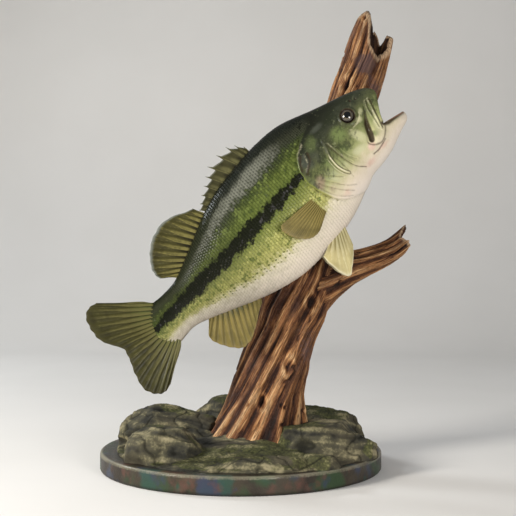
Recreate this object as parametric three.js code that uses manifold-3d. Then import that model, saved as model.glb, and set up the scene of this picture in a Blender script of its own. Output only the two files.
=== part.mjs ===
// A largemouth bass mount: the fish leaps up past a weathered driftwood stump that grows out of a
// rocky ground on a round plinth. Millimetres, +Z up. The origin is the centre of the plinth's
// underside; the fish's right side faces -Y and its head points to +X and up.
//
// The fish is drawn in a frame of its own: x runs forwards from the tail base along the lateral
// stripe, z towards the back fin, and y towards its left side. One group turns that frame into place.
import * as THREE from "three";
import Module from "manifold-3d";

const wasm = await Module();
wasm.setup();

// ---------------------------------------------------------------- driving dimensions
const GAP = 0.35; // left between pieces that touch
const PLINTH = { radius: 200, height: 25, round: 3.5 };
const FISH = { x: -105, y: -45, z: 208, pitch: 44 }; // tail base, and degrees that the head points up
const BEND = { tailFrom: 120, tailSwing: 15, headFrom: 300, headSwing: 5, reach: 130 };
const CUT = { tail: 52, gills: 284 }; // where tail stalk, trunk and head are parted
const EYE = { x: 376.5, y: 29.5, z: 28.5, radius: 9.6, depth: 6, rollUp: 15, turnAhead: 6 };
const TONGUE = { x: 398, z: -24, half: [26, 12, 6], tilt: 0.12 };
const BODY_SIDES = 22;
const LONG = { middle: 200, half: 150, end: 6 }; // how a widened body also grows at both its ends

// Cross-sections of the fish from the tail base to the lips. Each has the place of its highest and
// lowest point, half its width, the height of its widest level, how full it is above and below that
// level (2 is an ellipse), and how far its sides bow back from a flat section.
const SECTIONS = [
  // xTop, top, xLow, low, half, level, above, below, bow
  [-3, 30.5, -6, -35.5, 3.2, -2, 2, 2, 14],
  [9, 30, 7, -34.3, 7.5, -2, 2, 2, 5],
  [26, 29.5, 26, -33.6, 12.5, -2, 2, 2, 0],
  [50, 32, 50, -41, 18, -4, 2, 2, 0],
  [80, 43.5, 80, -53.5, 26, -4, 2, 2, 0],
  [115, 59, 115, -68, 34.5, -4, 2, 2, 0],
  [150, 73.5, 150, -79.5, 42, -3, 1.95, 2.05, 0],
  [185, 83, 185, -86.5, 47, -2, 1.95, 2.1, 0],
  [220, 87.5, 220, -87, 49, -1, 1.95, 2.1, 0],
  [255, 90.5, 255, -84, 49, -1, 1.95, 2.1, 0],
  [285, 90, 285, -78.5, 47.5, -2, 1.95, 2.05, 0],
  [310, 86, 310, -71, 46.5, -4, 1.9, 2, 0],
  [333, 78, 333, -61.5, 44.5, -6, 1.9, 2, 0],
  [350, 71, 350, -53.5, 42, -7, 1.9, 2.1, 0],
  [370, 64, 370, -51.5, 39.3, -8, 2, 2.2, 0],
  [390, 57.5, 390, -48, 36.3, -9, 2.1, 2.2, 4],
  [406, 51.5, 407, -42, 33.8, -10, 2.1, 2.1, 12],
  [417, 46, 424, -35.6, 32.5, -10, 2, 1.9, 22.5],
  [425, 41, 437, -31, 32, -10, 2, 1.8, 32],
];
// The same for the lips and, behind them, the inside of the mouth down to the throat.
const MOUTH = [
  [428, 35, 441.5, -22.5, 32, -10, 2, 1.7, 36],
  [424.5, 31.5, 438.5, -18.5, 29, -10, 2, 1.7, 35],
  [417, 30, 430, -25, 27, -10, 2, 1.9, 25],
  [404, 27, 412, -31, 27, -10, 2, 2.2, 12],
  [388, 22, 390, -36, 28, -10, 2, 2.2, 3],
  [366, 14, 366, -37, 26, -12, 2, 2, 0],
  [346, 2, 346, -30, 16, -14, 2, 2, 0],
];
const JAW_ANGLE = THREE.MathUtils.degToRad(105); // round a section, from the back to the mouth's corner

// ---------------------------------------------------------------- materials
const finish = (color, roughness, metalness = 0) =>
  new THREE.MeshStandardMaterial({ color, roughness, metalness });
const SKIN_GREEN = finish(0x7d8a48, 0.4);
const SKIN_HEAD = finish(0x6f7d4a, 0.38);
const SKIN_PALE = finish(0xd9ccb0, 0.42);
const FIN_OLIVE = finish(0x827f45, 0.5);
const FIN_CREAM = finish(0xddd6a4, 0.5);
const EYE_GLASS = finish(0x2a2420, 0.08);
const TONGUE_FLESH = finish(0xc9a79a, 0.45);
const DRIFTWOOD = finish(0x8e6040, 0.75);
const ROCK = finish(0x77755a, 0.85);
const GROUND = finish(0x6a6a48, 0.9);
const PATINA = finish(0x6b6a60, 0.45);

// ---------------------------------------------------------------- numbers and curves
const clamp01 = (t) => Math.min(1, Math.max(0, t));
const smooth = (t) => clamp01(t) ** 2 * (3 - 2 * clamp01(t));
const mix = (a, b, t) => a + (b - a) * t;

// A smooth curve through the rows of a table of numbers; at is in rows, from 0 to the last.
function rowAt(table, at) {
  const i = Math.min(Math.max(Math.floor(at), 0), table.length - 2);
  const t = at - i;
  const [p, a, b, q] = [i - 1, i, i + 1, i + 2].map(
    (k) => table[Math.min(Math.max(k, 0), table.length - 1)],
  );
  return a.map((_, k) => {
    const [slope, bend] = [b[k] - p[k], 2 * p[k] - 5 * a[k] + 4 * b[k] - q[k]];
    const twist = 3 * (a[k] - b[k]) + q[k] - p[k];
    return a[k] + 0.5 * t * (slope + t * (bend + t * twist));
  });
}
// The same by share of the table's length, from 0 to 1.
const alongAt = (table, share) => rowAt(table, share * (table.length - 1));

// ---------------------------------------------------------------- solids
// A solid from points and triangles, its faces turned outwards whichever way they were listed.
function solidOf(points, triangles) {
  const volume = triangles.reduce((sum, [a, b, c]) => {
    return sum + points[a].dot(new THREE.Vector3().crossVectors(points[b], points[c]));
  }, 0);
  const outward = volume < 0 ? triangles.map(([a, b, c]) => [a, c, b]) : triangles;
  const vertProperties = new Float32Array(points.flatMap((p) => [p.x, p.y, p.z]));
  const triVerts = new Uint32Array(outward.flat());
  return new wasm.Manifold(new wasm.Mesh({ numProp: 3, vertProperties, triVerts }));
}

// A closed solid through rings of equally many points, with a fan over each end.
function loft(rings) {
  const n = rings[0].length;
  const points = rings.flat();
  const triangles = [];
  for (let r = 0; r + 1 < rings.length; r++)
    for (let i = 0; i < n; i++) {
      const [a, b] = [r * n + i, r * n + ((i + 1) % n)];
      triangles.push([a, b, b + n], [a, b + n, a + n]);
    }
  for (const end of [0, rings.length - 1]) {
    const middle = points.length;
    points.push(rings[end].reduce((sum, p) => sum.add(p), new THREE.Vector3()).divideScalar(n));
    for (let i = 0; i < n; i++) {
      const [a, b] = [end * n + i, end * n + ((i + 1) % n)];
      triangles.push(end ? [a, b, middle] : [b, a, middle]);
    }
  }
  return solidOf(points, triangles);
}

// A thin plate between two sides, each a grid of points: grid[row][column].
function plate(front, back) {
  const rows = front.length;
  const ring = (r) => [...front[r], ...[...back[r]].reverse()];
  return loft(Array.from({ length: rows }, (_, r) => ring(r)));
}

function fromGeometry(geometry) {
  const position = geometry.getAttribute("position");
  const index = geometry.index ? [...geometry.index.array] : [...Array(position.count).keys()];
  const seen = new Map();
  const points = [];
  const place = index.map((i) => {
    const p = new THREE.Vector3().fromBufferAttribute(position, i);
    const key = [p.x, p.y, p.z].map((v) => Math.round(v * 1e4)).join();
    if (!seen.has(key)) {
      seen.set(key, points.length);
      points.push(p);
    }
    return seen.get(key);
  });
  const triangles = [];
  for (let i = 0; i < place.length; i += 3) {
    const [a, b, c] = place.slice(i, i + 3);
    if (a !== b && b !== c && a !== c) triangles.push([a, b, c]);
  }
  return solidOf(points, triangles);
}

function block(x0, x1, y0, y1, z0, z1) {
  const box = new THREE.BoxGeometry(x1 - x0, y1 - y0, z1 - z0);
  return fromGeometry(box.translate((x0 + x1) / 2, (y0 + y1) / 2, (z0 + z1) / 2));
}

function geometryOf(solid) {
  const mesh = solid.getMesh();
  const positions = new Float32Array(mesh.numVert * 3);
  for (let i = 0; i < mesh.numVert; i++)
    positions.set(mesh.vertProperties.subarray(i * mesh.numProp, i * mesh.numProp + 3), i * 3);
  const geometry = new THREE.BufferGeometry();
  geometry.setAttribute("position", new THREE.BufferAttribute(positions, 3));
  geometry.setIndex(new THREE.BufferAttribute(new Uint32Array(mesh.triVerts), 1));
  geometry.computeVertexNormals();
  return geometry;
}

// The largest of the bodies that a cut leaves, without its crumbs.
const mainBody = (solid) => solid.decompose().reduce((a, b) => (b.volume() > a.volume() ? b : a));

function addPiece(group, name, solid, material) {
  const mesh = new THREE.Mesh(geometryOf(mainBody(solid)), material);
  mesh.name = name;
  group.add(mesh);
}

// The same solid seen from another group's frame.
function movedSolid(solid, matrix) {
  return fromGeometry(geometryOf(solid).applyMatrix4(matrix));
}

// ---------------------------------------------------------------- the fish's body
// The body bends a little to its right at both ends, away from the stump.
function bendAt(x) {
  const tail = Math.max(0, BEND.tailFrom - x) / BEND.reach;
  const head = Math.max(0, x - BEND.headFrom) / BEND.reach;
  return -BEND.tailSwing * tail ** 1.7 - BEND.headSwing * head ** 2;
}

function bowShape(angle) {
  return angle < JAW_ANGLE
    ? smooth((angle / JAW_ANGLE - 0.25) / 0.75)
    : ((Math.PI - angle) / (Math.PI - JAW_ANGLE)) ** 1.5;
}

// One point of a section; turn runs from 0 at the back, over the right side, to a full turn.
function sectionPoint([xTop, top, xLow, low, half, level, above, below, bow], turn, grow) {
  const angle = Math.PI * (1 - Math.abs(1 - 2 * turn));
  const side = turn < 0.5 ? -1 : 1;
  const upper = angle < Math.PI / 2;
  const full = 2 / (upper ? above : below);
  const rise = Math.abs(Math.cos(angle)) ** full;
  const z = upper ? level + (top + grow - level) * rise : level - (level - low + grow) * rise;
  const x = mix(xTop, xLow, (top - z) / (top - low)) - bow * bowShape(angle);
  const y = side * (half + grow) * Math.sin(angle) ** full;
  return new THREE.Vector3(x + (grow * (x - LONG.middle)) / LONG.half, y + bendAt(x), z);
}

const sectionRing = (row, grow) =>
  Array.from({ length: BODY_SIDES }, (_, i) => sectionPoint(row, i / BODY_SIDES, grow));

function bodySolid(grow, withMouth) {
  const rows = [...SECTIONS, ...(withMouth ? MOUTH : MOUTH.slice(0, 1))];
  const rings = rows.map((row) => sectionRing(row, grow));
  if (grow) rings.unshift(rings[0].map((p) => new THREE.Vector3(p.x - LONG.end * grow, p.y, p.z)));
  return loft(rings);
}

// Half the body's width, not bent, at a place on the trunk seen from the side.
function halfWidthAt(x, z) {
  let [low, high] = [0, SECTIONS.length - 1];
  while (high - low > 1e-3) {
    const middle = (low + high) / 2;
    if (rowAt(SECTIONS, middle)[0] < x) low = middle;
    else high = middle;
  }
  const [, top, , bottom, half, level, above, below] = rowAt(SECTIONS, low);
  const share = z > level ? (z - level) / (top - level) : (level - z) / (level - bottom);
  const full = z > level ? above : below;
  return half * Math.max(0, 1 - clamp01(share) ** full) ** (1 / full);
}

// ---------------------------------------------------------------- bones on the head
// Outlines seen from the side, as [x, z] points, of the bones that stand a little off the head.
const GILL_COVER = [
  [300, 46], [285, 34], [275, 17], [272.5, 0], [276.5, -20], [283.5, -37.5], [293, -50], [307, -56.5],
  [320, -56], [330, -47], [329, -36], [321, -23], [317, -9], [318.5, 6], [324, 19], [322, 34], [312, 44],
];
const UPPER_JAW = [
  [427, 36], [424.5, 22], [419.5, 12], [414, 2.5], [408, -8.5], [402, -18], [393, -25.5], [384, -28],
  [375.5, -24], [371.5, -17.5], [376, -11.5], [384, -4.5], [391, 5], [398, 16], [406, 27], [418, 37],
];
const BONE = { lift: 2.2, points: 22 };

// A prism across the fish, 400 mm wide, on a closed curve seen from the side.
function sidePrism(points) {
  const shape = new THREE.Shape(points.map(([x, z]) => new THREE.Vector2(x, z)));
  const prism = new THREE.ExtrudeGeometry(shape, { depth: 400, bevelEnabled: false });
  return fromGeometry(prism.translate(0, 0, -200).rotateX(Math.PI / 2));
}

// Everything within such an outline, widened by spread, out to the bone's outer face and grow more.
function boneBlock(outline, spread, grow) {
  const curve = new THREE.CatmullRomCurve3(outline.map(([x, z]) => new THREE.Vector3(x, 0, z)), true);
  const edge = curve.getSpacedPoints(BONE.points).slice(0, -1);
  const middle = edge.reduce((sum, p) => sum.add(p), new THREE.Vector3()).divideScalar(edge.length);
  const widened = edge.map((p) => p.clone().sub(middle).multiplyScalar(spread).add(middle));
  return bodySolid(BONE.lift + grow, false).intersect(sidePrism(widened.map((p) => [p.x, p.z])));
}

// A thin bone that lies over the side of the head.
function boneOver(outline, side) {
  const half = side > 0 ? block(0, FAR, 0, FAR, -FAR, FAR) : block(0, FAR, -FAR, 0, -FAR, FAR);
  return boneBlock(outline, 1, 0).subtract(bodyGrown).intersect(half);
}

// ---------------------------------------------------------------- fins
// A fin with rays from base to margin, each a list of [x, z] points from the front ray to the last.
// It is thick at the base and thin at the margin, and stands in the middle of the body.
function middleFin(base, margin, { rays, rows = 3, thickBase, thickEdge, wave }) {
  const layer = (sign) =>
    Array.from({ length: rays + 1 }, (_, r) =>
      Array.from({ length: rows + 1 }, (_, c) => {
        const out = c / rows;
        const [bx, bz] = alongAt(base, r / rays);
        const [mx, mz] = alongAt(margin, r / rays);
        const x = mix(bx, mx, out);
        const sway = wave * out * Math.sin((2.2 * Math.PI * r) / rays);
        const thick = mix(thickBase, thickEdge, Math.sqrt(out)) / 2;
        return new THREE.Vector3(x, sign * thick + sway + bendAt(x), mix(bz, mz, out));
      }),
    );
  return plate(layer(1), layer(-1));
}

const TAIL_BASE = [[8, 30], [-2, 20], [-8, 8], [-10, -3], [-8, -15], [-4, -26], [0, -34]];
const TAIL_MARGIN = [
  [-47, 83], [-58, 85.5], [-69, 80], [-76, 66], [-78.5, 51], [-74.5, 35], [-67, 21], [-63, 9],
  [-67, -4], [-74, -20], [-78.5, -37], [-78, -54], [-71, -65], [-62, -69], [-51, -66.5],
];
const SOFT_BASE = [[146, 66], [125, 57], [100, 46], [78, 36], [60, 29]];
const SOFT_MARGIN = [
  [137, 87], [125, 91], [112, 98], [96, 101.5], [80, 99.5], [66, 93.5], [53, 84], [43, 72.5],
  [37, 60], [37.5, 49], [47, 41.5],
];
const ANAL_BASE = [[122, -64], [104, -56], [84, -47], [66, -40], [52, -35]];
const ANAL_MARGIN = [
  [116, -74.5], [105, -80], [92, -89], [80, -96], [68, -101], [57, -101.5], [47, -95], [38, -82.5],
  [31.5, -69], [31, -57], [41, -46.5],
];
// The nine spines of the front back fin, from the first: foot and tip.
const SPINES = [
  [[250, 91], [248, 99.5]], [[246, 90.5], [240, 110]], [[239, 90], [229.5, 117]],
  [[227, 88.5], [212, 118]], [[211, 86.5], [192, 115]], [[196, 84], [180.5, 107]],
  [[183, 82], [170, 99]], [[171, 79.5], [158.5, 92]], [[160, 77], [149, 84.5]],
];
const WEB_SHARE = 0.68; // how far up a spine the web of skin behind it starts

function spinyFin() {
  const base = [];
  const margin = [];
  SPINES.forEach(([foot, tip], i) => {
    const next = SPINES[i + 1] ?? [[152, 75], [142, 79]];
    base.push([foot[0], foot[1] - 7], [mix(foot[0], next[0][0], 0.3), mix(foot[1], next[0][1], 0.3) - 7]);
    margin.push(tip, [mix(foot[0], tip[0], WEB_SHARE) - 2.5, mix(foot[1], tip[1], WEB_SHARE) + 1.5]);
  });
  base.push([152, 68]);
  margin.push([142, 78.5]);
  const layer = (sign) =>
    margin.map((edge, i) =>
      [0, 0.5, 1].map((out) => {
        const x = mix(base[i][0], edge[0], out);
        const thick = mix(i % 2 ? 2 : 3, i % 2 ? 0.8 : 1.1, out) / 2;
        return new THREE.Vector3(x, sign * thick + bendAt(x), mix(base[i][1], edge[1], out));
      }),
    );
  return plate(layer(1), layer(-1));
}

// A paired fin. root and edge are [x, z, y] points from its upper or front ray to the last.
function sideFin(root, edge, side, { rays, rows = 3, thickBase, thickEdge, cup }) {
  const layer = (offset) =>
    Array.from({ length: rays + 1 }, (_, r) =>
      Array.from({ length: rows + 1 }, (_, c) => {
        const out = c / rows;
        const [bx, bz, by] = alongAt(root, r / rays);
        const [ex, ez, ey] = alongAt(edge, r / rays);
        const thick = offset * mix(thickBase, thickEdge, out);
        const hollow = cup * Math.sin(Math.PI * out);
        const x = mix(bx, ex, out);
        return new THREE.Vector3(x, side * (mix(by, ey, out) + hollow + thick) + bendAt(x), mix(bz, ez, out));
      }),
    );
  const [outer, inner] = [layer(0.5), layer(-0.5)];
  return side > 0 ? plate(inner, outer) : plate(outer, inner);
}

const BREAST_ROOT = [[272, -19, 42], [272, -27, 41], [271, -35, 39], [269, -43, 37]];
const BREAST_EDGE = [
  [208, -16, 61], [203.5, -24, 62], [207, -36, 60.5], [214, -47, 58], [225, -56, 55.5], [238, -57.5, 52],
  [254, -50, 46],
];
const FOLDED = 0.16; // the left breast fin lies flat, so its edge keeps this share of the spread

function breastFin(side, grow) {
  const edge = BREAST_EDGE.map(([x, z, y]) => {
    const [outX, outZ] = [x + grow * (x < 222 ? -1.5 : 1), z + grow * (z < -38 ? -1.5 : 1.5)];
    return [outX, outZ, mix(halfWidthAt(x, z) + 3.2, y, side < 0 ? 1 : FOLDED)];
  });
  const root = BREAST_ROOT.map(([x, z, y]) => [x + 2 * grow, z + grow * (z < -31 ? -1.5 : 1.5), y]);
  const shape = { rays: 10, thickBase: 4 + 3 * grow, thickEdge: 1.2 + 3 * grow, cup: 2.2 };
  return sideFin(root, edge, side, shape);
}

const BELLY_ROOT = [[272, -76, 12], [264, -77, 14], [256, -76.5, 15], [246, -77, 15]];
const BELLY_EDGE = [
  [262, -103, 17], [253, -113, 19], [240, -124, 22], [229, -131.5, 24], [223, -120, 25], [220.5, -101, 24],
  [221, -87, 19],
];

// ---------------------------------------------------------------- the stump
// The driftwood's middle line with its half width and half depth: [x, y, z, halfX, halfY].
const TRUNK = [
  [22, 6, 25.6, 71, 58],
  [25, 6, 44, 65, 54],
  [29, 6, 66, 60, 48],
  [36, 8, 100, 52, 43],
  [51, 12, 150, 48, 39],
  [67, 16, 200, 44, 36],
  [85, 21, 250, 43, 34],
  [100, 25, 300, 37, 34],
  [121, 27, 375, 33.5, 34],
  [142, 31, 450, 33, 33],
  [158, 39, 505, 33.5, 29],
  [170, 44, 545, 34, 27],
  [184, 47, 590, 33, 25],
];
const TRUNK_CUT = 300; // height where the lower stump ends and the upper snag begins
const WOOD_FOLDS = [[5, 0.055, 0.4], [8, 0.04, 1.9]]; // broad folds round it: number, share, phase
const WOOD_TWIST = 0.0042; // radians of turn for each millimetre up, as far as the crown
const FLUTES = 16; // ridges with furrows between them
const FLUTE_DEPTH = { stem: 2.2, foot: 2.6 }; // a ridge's height over the mean, and what the foot adds
const FLUTE_FOOT = { top: 190, reach: 150, power: 1.5 }; // where the foot's share begins, and how it grows
const FLUTE_SHIFTS = [[2, 0.1, 1], [5, 0.05, 2.5]]; // uneven spacing of the ridges: number, radians, phase
const FLUTE_SWELL = { number: 3, share: 0.3, phase: 0.6 }; // some ridges are higher than others
const WOOD_SIDES = 2 * FLUTES; // a corner on each ridge and in each furrow
// The broken top: height of the rim by degrees round it, from +X over the front (-Y).
const CROWN = [
  [0, 624], [12, 612], [28, 601], [50, 593], [72, 595], [88, 605], [100, 622], [112, 642], [122, 656],
  [142, 662], [160, 660], [180, 656], [200, 659], [218, 662], [232, 660], [240, 654], [246, 641], [252, 635],
  [266, 636], [282, 636], [291, 628], [300, 616], [308, 616], [316, 622], [328, 627], [348, 627], [360, 624],
];
const CROWN_FOOT = TRUNK.at(-1)[2];
const CROWN_LEAN = 0.27; // how far the crown goes on leaning to +X, for each millimetre up
const CROWN_TAPER = 0.00165; // how much it narrows, for each square millimetre up
const HOLLOW = { depth: 11, wall: 0.78, floor: 0.5, bevel: 14 }; // the rotted core: shares of the outer ring

const fluteTurn = (i) => (2 * Math.PI * i) / WOOD_SIDES;
const spacedTurn = (turn) =>
  FLUTE_SHIFTS.reduce((sum, [n, shift, phase]) => sum + shift * Math.sin(n * turn + phase), turn);

// The direction of a ridge or furrow at a height, from +X over the front.
const woodAngle = (i, z) => spacedTurn(fluteTurn(i)) - WOOD_TWIST * Math.min(z, CROWN_FOOT);

function woodPoint([x, y, z, halfX, halfY], i, grow, shrink = 1) {
  const angle = woodAngle(i, z);
  const turned = spacedTurn(fluteTurn(i));
  const folds = WOOD_FOLDS.reduce((r, [n, part, shift]) => r + part * Math.sin(n * turned + shift), 1);
  const foot = clamp01((FLUTE_FOOT.top - z) / FLUTE_FOOT.reach) ** FLUTE_FOOT.power;
  const { number, share, phase } = FLUTE_SWELL;
  const swell = 1 - share + share * Math.sin(number * fluteTurn(i) + phase);
  const flute = (i % 2 ? -1 : 1) * (FLUTE_DEPTH.stem + FLUTE_DEPTH.foot * foot) * swell;
  return new THREE.Vector3(
    x + shrink * ((halfX + grow) * folds + flute) * Math.cos(angle),
    y - shrink * ((halfY + grow) * folds + flute) * Math.sin(angle),
    z,
  );
}

const woodRing = (pointAt) => Array.from({ length: WOOD_SIDES }, (_, i) => pointAt(i));

function crownHeight(angle) {
  const degrees = (THREE.MathUtils.radToDeg(angle) + 360) % 360;
  const i = CROWN.findIndex(([d]) => d > degrees) - 1;
  const [[d0, h0], [d1, h1]] = [CROWN[i], CROWN[i + 1]];
  return mix(h0, h1, (degrees - d0) / (d1 - d0));
}

function crownRow(z) {
  const [x, y, foot, halfX, halfY] = TRUNK.at(-1);
  const up = Math.max(0, z - foot);
  const taper = CROWN_TAPER * up ** 2;
  return [x + CROWN_LEAN * up, y, z, halfX - taper, halfY - taper];
}

// The root flare: toes that reach out over the ground, by angle round the foot.
const TOES = [[105, 26], [62, 20], [150, 10], [205, 14], [300, 18], [10, 12]]; // degrees, reach

function toeReach(angle, z) {
  const height = clamp01((95 - z) / 70);
  return TOES.reduce((sum, [degrees, reach]) => {
    const away = Math.cos(angle - THREE.MathUtils.degToRad(degrees));
    return sum + reach * height ** 2 * Math.max(0, away) ** 14;
  }, 0);
}

function trunkSolid(grow) {
  const rings = TRUNK.slice(0, -1).map((row) =>
    woodRing((i) => {
      const angle = woodAngle(i, row[2]);
      const reach = toeReach(angle, row[2]);
      const toe = new THREE.Vector3(reach * Math.cos(angle), -reach * Math.sin(angle), 0);
      return woodPoint(row, i, grow).add(toe);
    }),
  );
  const rim = (shrink) =>
    woodRing((i) => {
      const top = crownHeight(woodAngle(i, CROWN_FOOT));
      return woodPoint(crownRow(top), i, 0, shrink).setZ(top - (1 - shrink) * HOLLOW.bevel);
    });
  const floor = woodRing((i) => woodPoint(TRUNK.at(-1), i, 0, HOLLOW.floor).setZ(CROWN_FOOT - HOLLOW.depth));
  rings.push(rim(1), rim(HOLLOW.wall), floor);
  return loft(rings);
}

// The side branch: middle line and half thickness.
const BRANCH = [
  [80, 22, 232, 44], [104, 22, 250, 39], [130, 21, 265, 28.5], [154, 19, 279, 24], [178, 17, 289, 20],
  [200, 16, 298.5, 17.5], [220, 15, 309, 16], [235, 14, 317, 15],
];
const BRANCH_DEEPEST = 31; // half its thickness from front to back is never more
// Its broken tips: foot, tip, and the radius of the foot.
const BRANCH_TIPS = [
  { foot: [222, 14, 318], tip: [236, 12, 334], radius: 9 },
  { foot: [226, 14, 306], tip: [250, 15, 318], radius: 9 },
];

function branchSolid() {
  const sides = 14;
  const curve = BRANCH.map(([x, y, z]) => new THREE.Vector3(x, y, z));
  const across = new THREE.Vector3(0, 1, 0);
  const rings = BRANCH.map(([, , , half], i) => {
    const ahead = curve[Math.min(i + 1, curve.length - 1)].clone().sub(curve[Math.max(i - 1, 0)]);
    const up = new THREE.Vector3().crossVectors(ahead.normalize(), across);
    return Array.from({ length: sides }, (_, k) => {
      const angle = (2 * Math.PI * k) / sides;
      const r = half * (1 + 0.05 * Math.sin(3 * angle + 0.5 * i) + 0.05 * Math.sin(5 * angle + 1));
      const deep = (r * Math.min(half, BRANCH_DEEPEST)) / half;
      const rim = up.clone().multiplyScalar(r * Math.cos(angle));
      return rim.addScaledVector(across, deep * Math.sin(angle)).add(curve[i]);
    });
  });
  const tips = BRANCH_TIPS.map(({ foot, tip, radius }) => {
    const aim = new THREE.Vector3(...tip).sub(new THREE.Vector3(...foot));
    const length = aim.length();
    const turn = new THREE.Quaternion().setFromUnitVectors(new THREE.Vector3(0, 1, 0), aim.normalize());
    const cone = new THREE.CylinderGeometry(0.35 * radius, radius, length, 9).translate(0, length / 2, 0);
    return fromGeometry(cone.applyQuaternion(turn).translate(...foot));
  });
  return tips.reduce((wood, tip) => wood.add(tip), loft(rings));
}

// ---------------------------------------------------------------- ground and rocks
// Stones: centre, half sizes, degrees turned about Z, degrees tilted, and a seed for their faces.
// A stone is cut by the ones listed before it.
const ROCKS = {
  rock_front_left: { at: [-102, -86, 26], half: [56, 52, 46], top: 0.92, turn: 8, tilt: 4, seed: 1.3 },
  rock_front_middle: { at: [32, -152, 22], half: [64, 27, 24], top: 0.75, turn: 2, tilt: 1, seed: 2.6 },
  rock_front_right: { at: [106, -134, 20], half: [30, 28, 24], top: 0.8, turn: 30, tilt: 0, seed: 0.7 },
  rock_right_round: { at: [152, -72, 26], half: [36, 34, 32], top: 0.95, turn: 10, tilt: 0, seed: 3.9 },
  rock_right: { at: [96, -28, 24], half: [86, 66, 54], top: 0.72, turn: -20, tilt: -5, seed: 3.1 },
  rock_left_back: { at: [-99, 36, 24], half: [83, 66, 56], top: 0.95, turn: -10, tilt: 6, seed: 5.2 },
  rock_right_back: { at: [116, 54, 24], half: [69, 68, 54], top: 0.95, turn: 20, tilt: -2, seed: 4.4 },
  rock_back: { at: [-14, 104, 24], half: [68, 56, 63], top: 0.95, turn: -8, tilt: 0, seed: 6.7 },
};
const ROCK_FACES = { count: 15, reach: 0.89, spread: 0.07, round: 1.04 };
const GOLDEN_ANGLE = 2.39996;

// How far a stone reaches in a direction: a ball of radius 1 cut back by slanting flat faces.
function rockReach(direction, seed, top) {
  let reach = Math.min(ROCK_FACES.round, top / Math.max(direction.z, 0.1));
  for (let i = 0; i < ROCK_FACES.count; i++) {
    const up = 1 - (2 * i + 1) / ROCK_FACES.count;
    const around = GOLDEN_ANGLE * i + seed;
    const level = Math.sqrt(1 - up * up);
    const face = new THREE.Vector3(level * Math.cos(around), level * Math.sin(around), up);
    const distance = ROCK_FACES.reach + ROCK_FACES.spread * Math.sin(7 * seed + 5 * i);
    reach = Math.min(reach, distance / Math.max(direction.dot(face), 0.1));
  }
  return reach;
}

function rockSolid({ at, half, top, turn, tilt, seed }, grow) {
  const ball = new THREE.IcosahedronGeometry(1, half[0] > 66 ? 3 : 2);
  const place = ball.getAttribute("position");
  for (let i = 0; i < place.count; i++) {
    const p = new THREE.Vector3().fromBufferAttribute(place, i).normalize();
    const r = rockReach(p, seed, top);
    place.setXYZ(i, p.x * (half[0] * r + grow), p.y * (half[1] * r + grow), p.z * (half[2] * r + grow));
  }
  ball.rotateY(THREE.MathUtils.degToRad(tilt)).rotateZ(THREE.MathUtils.degToRad(turn)).translate(...at);
  return fromGeometry(ball);
}

// The ground under the stones and round the stump: a low mound.
const MOUND = { x: 4, radius: 182, rim: 27.5, crest: 57, hollow: 1.3, sides: 28, rings: 3 };

function moundSolid(grow) {
  const ring = (share, height) =>
    Array.from({ length: MOUND.sides }, (_, i) => {
      const angle = (2 * Math.PI * i) / MOUND.sides;
      const edge = 1 + 0.012 * Math.sin(5 * angle) + 0.01 * Math.sin(9 * angle + 1);
      const r = share * (MOUND.radius + 2 * grow) * edge;
      const [x, y] = [r * Math.cos(angle), r * Math.sin(angle)];
      const swell = mix(MOUND.rim, MOUND.crest, (1 - share) ** MOUND.hollow);
      return new THREE.Vector3(MOUND.x + x, y, height ?? swell + grow);
    });
  const rings = [ring(0.985, PLINTH.height + GAP - 10 * grow)];
  for (let i = MOUND.rings; i >= 1; i--) rings.push(ring(i / MOUND.rings));
  return loft(rings);
}

function plinthSolid() {
  const { radius, height, round } = PLINTH;
  const arc = (cz, from, to) =>
    [0, 1, 2].map((i) => {
      const angle = mix(from, to, i / 2);
      return new THREE.Vector2(radius - round + round * Math.cos(angle), cz + round * Math.sin(angle));
    });
  const outline = [
    new THREE.Vector2(0, 0),
    new THREE.Vector2(radius - 2, 0),
    new THREE.Vector2(radius, 2),
    ...arc(height - round, 0, Math.PI / 2),
    new THREE.Vector2(0, height),
  ];
  return fromGeometry(new THREE.LatheGeometry(outline, 40).rotateX(Math.PI / 2));
}

// ---------------------------------------------------------------- assembly
const mount = new THREE.Group();
const fish = new THREE.Group();
fish.position.set(FISH.x, FISH.y, FISH.z);
fish.rotation.y = THREE.MathUtils.degToRad(-FISH.pitch);
mount.add(fish);
mount.updateMatrixWorld(true);

const body = bodySolid(0, true);
const bodyGrown = bodySolid(GAP, false);
const FAR = 500;
const slab = (x0, x1) => block(x0, x1, -FAR, FAR, -FAR, FAR);

addPiece(fish, "tail_stalk", body.intersect(slab(-FAR, CUT.tail - GAP / 2)), SKIN_GREEN);
addPiece(fish, "trunk", body.intersect(slab(CUT.tail + GAP / 2, CUT.gills - GAP / 2)), SKIN_GREEN);

// The lower jaw is everything under a line from the throat to the mouth's corner.
const JAW_LINE = [[349, -46], [372, -38], [394, -29], [405, -16], [470, -8]];
const underJawLine = (gap) =>
  sidePrism([[349 - gap, -90], ...JAW_LINE.map(([x, z]) => [x - gap, z + gap]), [470, -90]]);
const head = body.intersect(slab(CUT.gills + GAP / 2, FAR));
const sockets = [-1, 1].map((side) => eyeBall(side, GAP)).reduce((a, b) => a.add(b));
const headAlone = head.subtract(underJawLine(GAP)).subtract(sockets);
addPiece(fish, "head", headAlone, SKIN_HEAD);
addPiece(fish, "lower_jaw", head.intersect(underJawLine(0)), SKIN_PALE);

function eyeBall(side, grow) {
  const ball = new THREE.SphereGeometry(1, 12, 7).rotateX(Math.PI / 2);
  ball.scale(EYE.radius + grow, EYE.depth + grow, EYE.radius + grow);
  ball.rotateX(side * THREE.MathUtils.degToRad(EYE.rollUp));
  ball.rotateZ(-side * THREE.MathUtils.degToRad(EYE.turnAhead));
  return fromGeometry(ball.translate(EYE.x, side * EYE.y + bendAt(EYE.x), EYE.z));
}

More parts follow.
